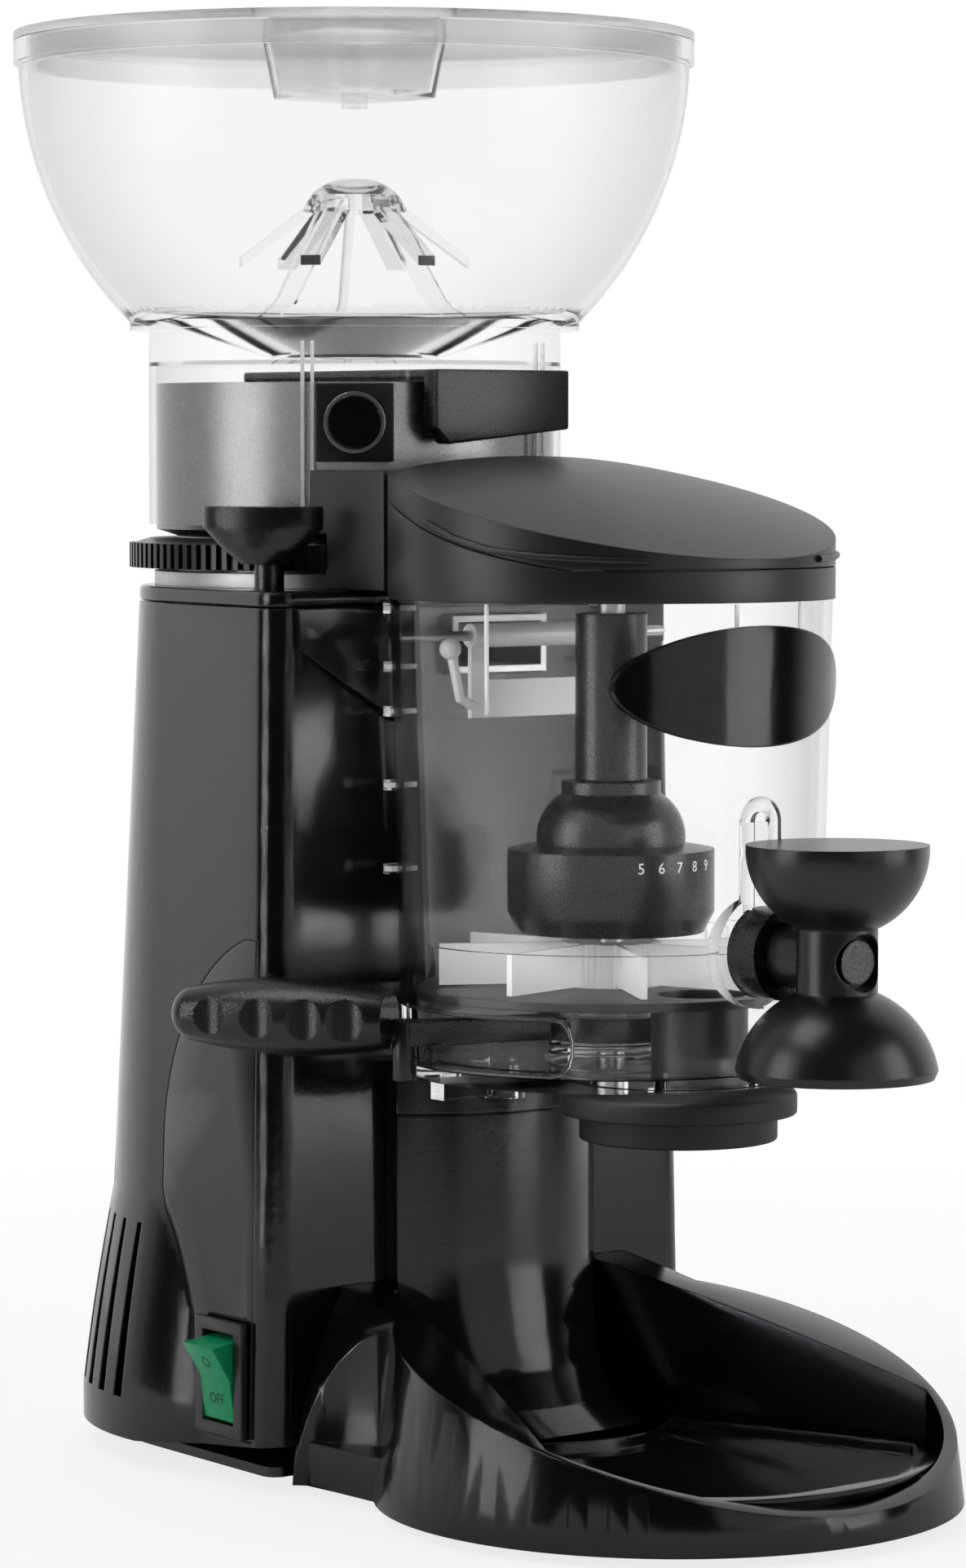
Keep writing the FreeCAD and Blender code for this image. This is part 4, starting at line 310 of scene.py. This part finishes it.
def clear(name, face, rim, rough, scale, strength, bend=1.3):
    """Clear plastic: face is how much passes straight through, rim how much passes at a grazing angle."""
    mat, tree, shader = new_finish(name)
    fine = grain(tree, scale, 2.0)
    slope = tree.nodes.new("ShaderNodeLayerWeight")
    slope.inputs["Blend"].default_value = 0.5
    shade = tint(tree, slope.outputs["Facing"], grey(face), grey(rim), 0.25, 0.95)
    tree.links.new(shade, shader.inputs["Base Color"])
    tree.links.new(spread(tree, fine, rough[0], rough[1]), shader.inputs["Roughness"])
    relief(tree, shader, fine, strength, GRAIN_DEPTH, 0.0)
    shader.inputs["Transmission Weight"].default_value = 1.0
    shader.inputs["IOR"].default_value = bend
    FINISH[name] = mat
    return shader


FINISH = {}
moulded("gloss_black", grey(0.0022), grey(0.0035), (0.10, 0.15), 900.0, 0.03, 0.0009, 0.45)
moulded("satin_black", grey(0.006), grey(0.008), (0.36, 0.42), 2600.0, 0.08, 0.0009, 0.5)
moulded("soft_black", grey(0.004), grey(0.006), (0.24, 0.30), 2600.0, 0.015, 0.0008, 0.45)
moulded("press_black", grey(0.004), grey(0.006), (0.27, 0.32), 2600.0, 0.03, 0.0008, 0.5)
moulded("ring_black", grey(0.005), grey(0.008), (0.28, 0.36), 1800.0, 0.08, 0.0003, 0.5)
moulded("rubber_black", grey(0.007), grey(0.010), (0.5, 0.62), 1500.0, 0.15, 0.0007, 0.4)
clear("clear_bowl", 0.955, 0.72, (0.05, 0.08), 60.0, 0.01, 1.14)
clear("clear_guard", 0.93, 0.40, (0.03, 0.06), 60.0, 0.01, 1.38)
clear("clear_lid", 0.82, 0.60, (0.10, 0.14), 80.0, 0.01, 1.2)
clear("clear_cup", 0.97, 0.60, (0.02, 0.05), 60.0, 0.01, 1.25)
frost = clear("clear_frost", 0.92, 0.70, (0.40, 0.50), 300.0, 0.05)
frost.inputs["Transmission Weight"].default_value = 0.55
green = moulded("green_lens", (0.002, 0.23, 0.085), (0.004, 0.28, 0.105), (0.24, 0.30), 300.0, 0.05,
                0.0008, 0.15)
green.inputs["Transmission Weight"].default_value = 0.05
moulded("mark_dark", (0.002, 0.03, 0.012), (0.003, 0.04, 0.016), (0.4, 0.5), 900.0, 0.05, 0.0, 0.3)
moulded("mark_white", grey(0.62), grey(0.7), (0.4, 0.5), 900.0, 0.05, 0.0, 0.4)
metal("sleeve_steel", 0.17, 0.20, (0.24, 0.28), 1500.0, 0.01, 0.0004)
metal("satin_steel", 0.40, 0.48, (0.28, 0.38), 420.0, 0.08, 0.0004, (0.06, 0.06, 3.0))
metal("dark_steel", 0.05, 0.07, (0.25, 0.34), 420.0, 0.06, 0.0004)
metal("bright_steel", 0.72, 0.78, (0.08, 0.14), 500.0, 0.04, 0.0003)
metal("cast_alloy", 0.50, 0.60, (0.38, 0.52), 1200.0, 0.20, 0.0005)
metal("core_iron", 0.16, 0.24, (0.4, 0.6), 300.0, 0.3, 0.0, (0.1, 0.1, 8.0))
metal("burr_steel", 0.36, 0.46, (0.22, 0.34), 800.0, 0.1, 0.0003)
copper = moulded("copper_wire", (0.55, 0.22, 0.10), (0.75, 0.36, 0.18), (0.25, 0.4), 500.0, 0.5, 0.0)
copper.inputs["Metallic"].default_value = 1.0
print("finishes", sorted(FINISH))

# %% [markdown]
# Each imported solid gets a finish by its name. The hidden motor
# and burrs keep their solids. A solid that shows gets a copy whose loose triangles are joined and shaded
# smooth up to an angle, so that round walls reflect in unbroken lines. The copy replaces the solid and
# stays on its body. Mouldings with an open edge also get that edge rounded in the mesh, as the tool that
# made them would leave it. The copies of clear pieces cast no shadow, so the lamps reach what is behind.

# %% Dress the solids
LOOK = {
    "gloss_black": ["tower_shell", "tower_cap", "left_side_panel", "right_side_panel", "front_plate",
                    "front_column", "base_shell", "lock_knob", "doser_bracket", "badge_plate", "drip_tray"],
    "satin_black": ["lock_block", "doser_collar", "duct_hood", "doser_lid", "switch_bezel", "doser_floor",
                    "cooling_fan"],
    "soft_black": ["gate", "ring_stop", "dose_column", "dose_cone", "lever_arm", "lever_grip", "tamper_stub",
                   "tamper_screw"],
    "press_black": ["tamper"],
    "ring_black": ["adjust_ring"],
    "rubber_black": ["rubber_feet", "cable_gland", "spout"],
    "clear_bowl": ["hopper"],
    "clear_guard": ["finger_guard"],
    "clear_lid": ["hopper_lid"],
    "clear_cup": ["doser_cup", "doser_base", "tamper_bracket"],
    "clear_frost": ["star_wheel", "level_flap"],
    "green_lens": ["rocker"],
    "sleeve_steel": ["upper_burr_carrier"],
    "dark_steel": ["ring_stop_pin", "bottom_plate"],
    "satin_steel": ["lock_knob_ring", "stop_spring", "return_spring", "flap_pin", "lid_hinge_pin",
                    "star_shaft", "tie_rods"],
    "bright_steel": ["motor_shaft", "bearings"],
    "cast_alloy": ["grind_chamber", "lower_bracket", "lower_burr_carrier"],
    "core_iron": ["motor_stator", "motor_rotor"],
    "copper_wire": ["motor_windings"],
    "burr_steel": ["lower_burr", "upper_burr"],
}
HIDDEN = {"motor_stator", "motor_rotor", "motor_windings", "motor_shaft", "bearings", "lower_bracket",
          "tie_rods", "cooling_fan", "lower_burr_carrier", "lower_burr", "upper_burr"}
# Width of the rounded edges in millimetres.
ROUND = {"left_side_panel": 1.6, "right_side_panel": 1.6, "gate": 2.2, "tower_cap": 2.0, "duct_hood": 1.4,
         "lock_block": 1.2, "switch_bezel": 0.7, "rocker": 0.7, "base_shell": 1.4, "drip_tray": 0.6,
         "lever_arm": 0.7, "ring_stop": 1.8, "spout": 0.8, "doser_collar": 0.5}
REMADE = {"adjust_ring"}
FLAT_ANGLE = math.radians(0.6)
SOFT_ANGLE = math.radians(28)
CRISP_ANGLE = math.radians(40)


def coat(obj, finish):
    obj.data.materials.clear()
    obj.data.materials.append(FINISH[finish])


def round_edges(work, width, angle):
    bmesh.ops.dissolve_limit(work, angle_limit=FLAT_ANGLE, verts=work.verts, edges=work.edges)
    sharp = [e for e in work.edges if len(e.link_faces) == 2 and e.calc_face_angle(0.0) > angle]
    bmesh.ops.bevel(work, geom=sharp, offset=width, offset_type="OFFSET", segments=3, profile=0.5,
                    affect="EDGES", clamp_overlap=True)


def smooth_edges(mesh, angle, width):
    """Shade smooth, with edges sharper than the angle left crisp or rounded to a width."""
    work = bmesh.new()
    work.from_mesh(mesh)
    bmesh.ops.remove_doubles(work, verts=work.verts, dist=1e-6)
    if width:
        round_edges(work, width, CRISP_ANGLE)
    for face in work.faces:
        face.smooth = True
    for edge in work.edges:
        if len(edge.link_faces) == 2:
            edge.smooth = edge.calc_face_angle(0.0) < angle
    work.to_mesh(mesh)
    work.free()


def piece(name, mesh, finish, body):
    """A finished mesh as a piece that rides on a body."""
    obj = bpy.data.objects.new(name, mesh)
    bpy.context.scene.collection.objects.link(obj)
    coat(obj, finish)
    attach(obj, body)
    return obj


def dress(node, finish):
    mesh = NODES[node].data.copy()
    mesh.name = node + "_skin"
    smooth_edges(mesh, SOFT_ANGLE, ROUND.get(node, 0.0) * MM)
    skin = piece(node + "_skin", mesh, finish, BODY_OF[node])
    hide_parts(node)
    return skin


SKIN = {}
for finish, members in LOOK.items():
    for node in members:
        coat(NODES[node], finish)
        if node not in HIDDEN and node not in REMADE:
            SKIN[node] = dress(node, finish)
            SKIN[node].visible_shadow = not finish.startswith("clear_")
print("dressed", len(SKIN), "kept as solids", len(NODES) - len(SKIN))

# %% [markdown]
# The spring under the press knob is given its own copy of its mesh. The joints of the record are listed by name.

# %% Press spring
JOINT = {joint["name"]: joint for joint in frame["joints"]}
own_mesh(SKIN["stop_spring"])

# %% [markdown]
# Geometry Nodes make what repeats or follows a path. Two small trees do it: one puts a block on every point
# and turns it to face outwards, and the other sweeps a round profile along a line of points. Each run of a
# tree is kept as a plain mesh, and the modifier goes.

# %% Node trees
def new_tree(name, inputs):
    tree = bpy.data.node_groups.new(name, "GeometryNodeTree")
    tree.interface.new_socket("Geometry", in_out="INPUT", socket_type="NodeSocketGeometry")
    for label, kind, value in inputs:
        socket = tree.interface.new_socket(label, in_out="INPUT", socket_type=kind)
        if value is not None:
            socket.default_value = value
    tree.interface.new_socket("Geometry", in_out="OUTPUT", socket_type="NodeSocketGeometry")
    return tree, tree.nodes.new("NodeGroupInput"), tree.nodes.new("NodeGroupOutput")


def close_tree(tree, source, given, out):
    """Every tree ends by making its copies real and giving them the finish."""
    real = tree.nodes.new("GeometryNodeRealizeInstances")
    paint = tree.nodes.new("GeometryNodeSetMaterial")
    tree.links.new(source, real.inputs["Geometry"])
    tree.links.new(real.outputs["Geometry"], paint.inputs["Geometry"])
    tree.links.new(given.outputs["Finish"], paint.inputs["Material"])
    tree.links.new(paint.outputs["Geometry"], out.inputs["Geometry"])


def blocks_tree():
    """A block on every point, turned about the upright axis by the point's own turn attribute."""
    tree, given, out = new_tree("blocks_on_points", [("Size", "NodeSocketVector", (0.001, 0.001, 0.001)),
                                                     ("Finish", "NodeSocketMaterial", None)])
    cube = tree.nodes.new("GeometryNodeMeshCube")
    turn = add_node(tree, "GeometryNodeInputNamedAttribute", data_type="FLOAT")
    turn.inputs["Name"].default_value = "turn"
    angles = tree.nodes.new("ShaderNodeCombineXYZ")
    spin = tree.nodes.new("FunctionNodeEulerToRotation")
    copies = tree.nodes.new("GeometryNodeInstanceOnPoints")
    tree.links.new(given.outputs["Size"], cube.inputs["Size"])
    tree.links.new(turn.outputs[0], angles.inputs["Z"])
    tree.links.new(angles.outputs["Vector"], spin.inputs["Euler"])
    tree.links.new(given.outputs["Geometry"], copies.inputs["Points"])
    tree.links.new(cube.outputs["Mesh"], copies.inputs["Instance"])
    tree.links.new(spin.outputs["Rotation"], copies.inputs["Rotation"])
    close_tree(tree, copies.outputs["Instances"], given, out)
    return tree


def bead_tree():
    """A round bead along every line of edges, closed at both ends."""
    tree, given, out = new_tree("bead_along_line", [("Radius", "NodeSocketFloat", 0.001),
                                                    ("Finish", "NodeSocketMaterial", None)])
    line = tree.nodes.new("GeometryNodeMeshToCurve")
    circle = add_node(tree, "GeometryNodeCurvePrimitiveCircle", Resolution=12)
    sweep = add_node(tree, "GeometryNodeCurveToMesh", Fill_Caps=True)
    tree.links.new(given.outputs["Geometry"], line.inputs["Mesh"])
    tree.links.new(given.outputs["Radius"], circle.inputs["Radius"])
    tree.links.new(line.outputs["Curve"], sweep.inputs["Curve"])
    tree.links.new(circle.outputs["Curve"], sweep.inputs["Profile Curve"])
    close_tree(tree, sweep.outputs["Mesh"], given, out)
    return tree


def run_tree(name, mesh, tree, values):
    obj = bpy.data.objects.new(name + "_seed", mesh)
    bpy.context.scene.collection.objects.link(obj)
    modifier = obj.modifiers.new("make", "NODES")
    modifier.node_group = tree
    for item in tree.interface.items_tree:
        if item.in_out == "INPUT" and item.name in values:
            modifier[item.identifier] = values[item.name]
    bpy.context.view_layer.update()
    graph = bpy.context.evaluated_depsgraph_get()
    made = bpy.data.meshes.new_from_object(obj.evaluated_get(graph))
    made.name = name
    obj.modifiers.remove(modifier)
    bpy.data.objects.remove(obj)
    smooth_edges(made, CRISP_ANGLE, 0.0)
    return made


def point_mesh(name, points, turns):
    mesh = bpy.data.meshes.new(name)
    mesh.from_pydata([tuple(p) for p in points], [], [])
    mesh.attributes.new("turn", "FLOAT", "POINT").data.foreach_set("value", turns)
    return mesh


def line_mesh(name, *lines):
    points = []
    edges = []
    for line in lines:
        first = len(points)
        points += [tuple(p) for p in line]
        edges += [(first + i, first + i + 1) for i in range(len(line) - 1)]
    mesh = bpy.data.meshes.new(name)
    mesh.from_pydata(points, edges, [])
    return mesh


def at(x, y, z):
    """A point given in millimetres from the burr axis."""
    return Vector((x * MM, y * MM + BURR_Y, z * MM))


def about(centre_y, radius, bearing, z):
    """A point on a round wall: bearing 0 is straight ahead, minus is left."""
    turn = math.radians(bearing)
    return at(radius * math.sin(turn), centre_y - radius * math.cos(turn), z)


BLOCKS = blocks_tree()
BEAD = bead_tree()
print("trees", BLOCKS.name, BEAD.name)

# %% [markdown]
# The adjusting ring is moulded with square teeth that the press knob locks into. Their number is an
# estimate. The plain body is turned from a profile, and the teeth are blocks on a circle of points, each
# turned to face outwards. Sizes are in millimetres.

# %% Toothed ring
def turned_body(name, profile, steps=160):
    """A closed profile of (radius, height) turned about the burr axis."""
    work = bmesh.new()
    loop = [work.verts.new(at(r, 0.0, z)) for r, z in profile]
    edges = [work.edges.new((loop[i], loop[(i + 1) % len(loop)])) for i in range(len(loop))]
    bmesh.ops.spin(work, geom=loop + edges, cent=at(0, 0, 0), axis=(0, 0, 1), angle=2 * math.pi,
                   steps=steps, use_merge=True)
    bmesh.ops.recalc_face_normals(work, faces=work.faces)
    mesh = bpy.data.meshes.new(name)
    work.to_mesh(mesh)
    work.free()
    return mesh


def joined(name, *meshes):
    work = bmesh.new()
    for mesh in meshes:
        work.from_mesh(mesh)
    whole = bpy.data.meshes.new(name)
    work.to_mesh(whole)
    work.free()
    return whole


RING_LOW, RING_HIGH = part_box("adjust_ring")
RING_R = RING_HIGH.x / MM
RING_Z = (RING_LOW.z / MM, RING_HIGH.z / MM)
RING_BORE = 54.8
RING_TOP_R = 62.6
RING_SLOPE_H = 1.4
ROOT_DEPTH = 1.7
TOOTH_INSET = 0.02
TOOTH_LIFT = 0.1
TOOTH = (2.2, 1.9, RING_Z[1] - RING_Z[0] - 1.6)
TEETH = 110
root = RING_R - ROOT_DEPTH
ring_body = turned_body("ring_body", [(RING_BORE, RING_Z[0]), (root, RING_Z[0]),
                                      (root, RING_Z[1] - RING_SLOPE_H), (RING_TOP_R, RING_Z[1]),
                                      (RING_BORE, RING_Z[1])])
spots = []
turns = []
for k in range(TEETH):
    bearing = 360.0 * k / TEETH
    spots.append(about(0.0, RING_R - TOOTH[0] / 2 - TOOTH_INSET, bearing,
                       RING_Z[0] + TOOTH[2] / 2 + TOOTH_LIFT))
    turns.append(math.radians(bearing - 90.0))
teeth = run_tree("ring_teeth", point_mesh("ring_points", spots, turns), BLOCKS,
                 {"Size": [v * MM for v in TOOTH], "Finish": FINISH["ring_black"]})
smooth_edges(ring_body, SOFT_ANGLE, 0.0)
ring = piece("toothed_ring", joined("toothed_ring", ring_body, teeth), "ring_black", "grind_setting")
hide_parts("adjust_ring")
print("ring teeth", TEETH, "faces", len(ring.data.polygons))

# %% [markdown]
# A thin bead follows the lower edge of the doser lid on both sides, rising towards the hinge, along the
# seam. It is a swept line of points on the lid wall, and runs one point further round on the right.

# %% Lid bead
DOSER_Y = -120.3
BEAD_LINE = [(94.0, 283.4), (83.7, 279.3), (72.4, 276.2), (59.7, 274.5), (48.0, 273.8), (37.5, 273.4),
             (31.8, 273.2), (24.0, 273.2)]
LEFT_POINTS = 7
RIGHT_POINTS = 8
LID_R = 64.6
BEAD_PROUD = 0.25
LID_BEAD_R = 1.05


def bead_points(side, count):
    points = []
    for bearing, z in BEAD_LINE[:count]:
        points.append(about(DOSER_Y, LID_R + BEAD_PROUD, side * bearing, z))
    return points


bead_line = line_mesh("lid_bead_line", bead_points(-1, LEFT_POINTS), bead_points(1, RIGHT_POINTS))
lid_bead = run_tree("lid_bead", bead_line, BEAD,
                    {"Radius": LID_BEAD_R * MM, "Finish": FINISH["satin_black"]})
piece("lid_bead", lid_bead, "satin_black", "doser_cover")
print("lid bead faces", len(lid_bead.polygons))

# %% [markdown]
# Small clear details of the doser and the hopper: five frosted clips on each rear edge of the cup, upright
# ribs on the cup and on the hopper neck, a raised rim round the lever slot, and the bent rod with a ball on
# the flap. Clips and ribs are blocks on points. The rim is a swept bead that leaves the slot itself free,
# and the rod is swept too.

# %% Clips, ribs and slot rim
CLIP_Z = (258.0, 241.0, 228.0, 206.5, 182.0)
CLIP_X = 39.0
CLIP_Y = -70.8
CLIP_SIZE = (8.4, 3.4, 1.4)
spots = [at(side * CLIP_X, CLIP_Y, z) for z in CLIP_Z for side in (-1, 1)]
clips = run_tree("cup_clips", point_mesh("clip_points", spots, [0.0] * len(spots)), BLOCKS,
                 {"Size": [v * MM for v in CLIP_SIZE], "Finish": FINISH["clear_frost"]})
piece("cup_clips", clips, "clear_frost", "housing")
RIB_DEPTH = 1.2
RIB_WIDTH = 0.9
NECK_R = 62.9
NECK_RIBS = (-52.1, -49.4, 21.5, 25.5)
NECK_RIB_Z = (283.0, 336.0)
REAR_RIB_R = 62.6
REAR_RIBS = (-74.3, 74.3)
REAR_RIB_Z = (230.0, 261.0)
FRONT_RIB_R = 63.2
FRONT_RIBS = (-7.2,)
FRONT_RIB_Z = (253.0, 261.0)


def ribs(name, centre_y, radius, bearings, heights):
    low, high = heights
    spots = [about(centre_y, radius, b, (low + high) / 2) for b in bearings]
    turns = [math.radians(b - 90.0) for b in bearings]
    return run_tree(name, point_mesh(name + "_points", spots, turns), BLOCKS,
                    {"Size": [RIB_DEPTH * MM, RIB_WIDTH * MM, (high - low) * MM],
                     "Finish": FINISH["clear_frost"]})


neck_ribs = ribs("neck_ribs", 0.0, NECK_R, NECK_RIBS, NECK_RIB_Z)
piece("neck_ribs", neck_ribs, "clear_frost", "grind_head")
rear_ribs = ribs("cup_rib_rear", DOSER_Y, REAR_RIB_R, REAR_RIBS, REAR_RIB_Z)
front_rib = ribs("cup_rib_front", DOSER_Y, FRONT_RIB_R, FRONT_RIBS, FRONT_RIB_Z)
piece("cup_ribs", joined("cup_ribs", rear_ribs, front_rib), "clear_frost", "housing")
SLOT = (130.2, 144.4)
SLOT_WALL = 61.2
RIM_GAP = 0.9             # the rim stands this far outside the slot
RIM_R = 0.6
SLOT_END = ((-53.5, 144.6), (-51.6, 142.4), (-50.9, 139.4), (-50.8, 135.4), (-51.6, 132.2), (-53.5, 130.0))
rim_line = [about(DOSER_Y, SLOT_WALL, b, SLOT[1] + RIM_GAP) for b in range(-112, -55, 4)]
rim_line += [about(DOSER_Y, SLOT_WALL, b, z) for b, z in SLOT_END]
rim_line += [about(DOSER_Y, SLOT_WALL, b, SLOT[0] - RIM_GAP) for b in range(-56, -113, -4)]
rim = run_tree("slot_rim", line_mesh("slot_rim_line", rim_line), BEAD,
               {"Radius": RIM_R * MM, "Finish": FINISH["clear_cup"]})
piece("slot_rim", rim, "clear_cup", "housing")
ROD_R = 1.5
BALL_R = 3.2
knob_line = [at(-33.8, -88.0, 246.5), at(-31.8, -88.0, 239.0), at(-29.8, -87.5, 232.0),
             at(-23.0, -85.2, 229.5)]
knob_rod = run_tree("flap_rod", line_mesh("flap_rod_line", knob_line), BEAD,
                    {"Radius": ROD_R * MM, "Finish": FINISH["clear_frost"]})
work = bmesh.new()
work.from_mesh(knob_rod)
bmesh.ops.create_uvsphere(work, u_segments=24, v_segments=16, radius=BALL_R * MM,
                          matrix=Matrix.Translation(knob_line[0]))
work.to_mesh(knob_rod)
work.free()
smooth_edges(knob_rod, CRISP_ANGLE, 0.0)
piece("flap_knob", knob_rod, "clear_frost", "dose_flap")
print("clips", len(CLIP_Z) * 2, "slot rim faces", len(rim.polygons))

# %% [markdown]
# Plain marks only: the word OFF and a ring on the rocker, printed dark into the green, and white dose
# numbers on the side of the dose cone, whose values are guessed. Each is a text or a ring turned into a thin
# mesh and laid on its face.

# %% Marks
MARK_THICK = 0.06
OFF_SIZE = 4.6
ON_RING = (1.9, 1.3)
NUMBER_SIZE = 4.4


def text_mesh(name, words, height, thick):
    curve = bpy.data.curves.new(name, "FONT")
    curve.body = words
    curve.size = height * MM
    curve.extrude = thick * MM
    curve.align_x = "CENTER"
    curve.align_y = "CENTER"
    obj = bpy.data.objects.new(name, curve)
    bpy.context.scene.collection.objects.link(obj)
    bpy.context.view_layer.update()
    graph = bpy.context.evaluated_depsgraph_get()
    mesh = bpy.data.meshes.new_from_object(obj.evaluated_get(graph))
    bpy.data.objects.remove(obj)
    return mesh


def ring_mesh(name, outer, inner, thick):
    work = bmesh.new()
    profile = [(outer, -thick), (outer, thick), (inner, thick), (inner, -thick)]
    loop = [work.verts.new((r * MM, 0.0, z * MM)) for r, z in profile]
    edges = [work.edges.new((loop[i], loop[(i + 1) % 4])) for i in range(4)]
    bmesh.ops.spin(work, geom=loop + edges, cent=(0, 0, 0), axis=(0, 0, 1), angle=2 * math.pi,
                   steps=40, use_merge=True)
    bmesh.ops.recalc_face_normals(work, faces=work.faces)
    mesh = bpy.data.meshes.new(name)
    work.to_mesh(mesh)
    work.free()
    return mesh


def lay(mesh, place, right, up):
    """Turn a flat mesh so that its x runs right and its y runs up, and put it in place."""
    right = right.normalized()
    up = (up - right * up.dot(right)).normalized()
    normal = right.cross(up)
    turn = Matrix((right, up, normal)).transposed().to_4x4()
    mesh.transform(Matrix.Translation(place) @ turn)
    return mesh


PIVOT = Vector(JOINT["rocker_tilt"]["pos_m"])
ALONG = Vector(JOINT["rocker_tilt"]["axis"])
OUT = Vector((-ALONG.y, ALONG.x, 0.0))
UP = Vector((0.0, 0.0, 1.0))
PIVOT_DEPTH = 2.5


def on_rocker(out, z):
    return PIVOT + OUT * ((PIVOT_DEPTH + out) * MM) + UP * (z * MM)


LOWER_FACE = OUT * 1.6 + UP * 12.6
UPPER_FACE = OUT * 6.0 + UP * 10.0
off_mark = lay(text_mesh("off_mark", "OFF", OFF_SIZE, MARK_THICK), on_rocker(2.6, -6.4), -ALONG, LOWER_FACE)
on_mark = lay(ring_mesh("on_mark", *ON_RING, MARK_THICK), on_rocker(6.4, 5.0), -ALONG, UPPER_FACE)
piece("rocker_marks", joined("rocker_marks", off_mark, on_mark), "mark_dark", "power_rocker")
CONE_R = 30.0
NUMBER_Z = 185.0
FIRST_BEARING = -24.0
NUMBER_STEP = 12.0
numbers = []
for k, word in enumerate(("5", "6", "7", "8", "9")):
    bearing = FIRST_BEARING + NUMBER_STEP * k
    turn = math.radians(bearing)
    digit = text_mesh("dose_" + word, word, NUMBER_SIZE, MARK_THICK)
    numbers.append(lay(digit, about(DOSER_Y, CONE_R, bearing, NUMBER_Z),
                       Vector((math.cos(turn), math.sin(turn), 0.0)), UP))
piece("dose_numbers", joined("dose_numbers", *numbers), "mark_white", "dose_wheel")
print("marks", len(numbers) + 2)
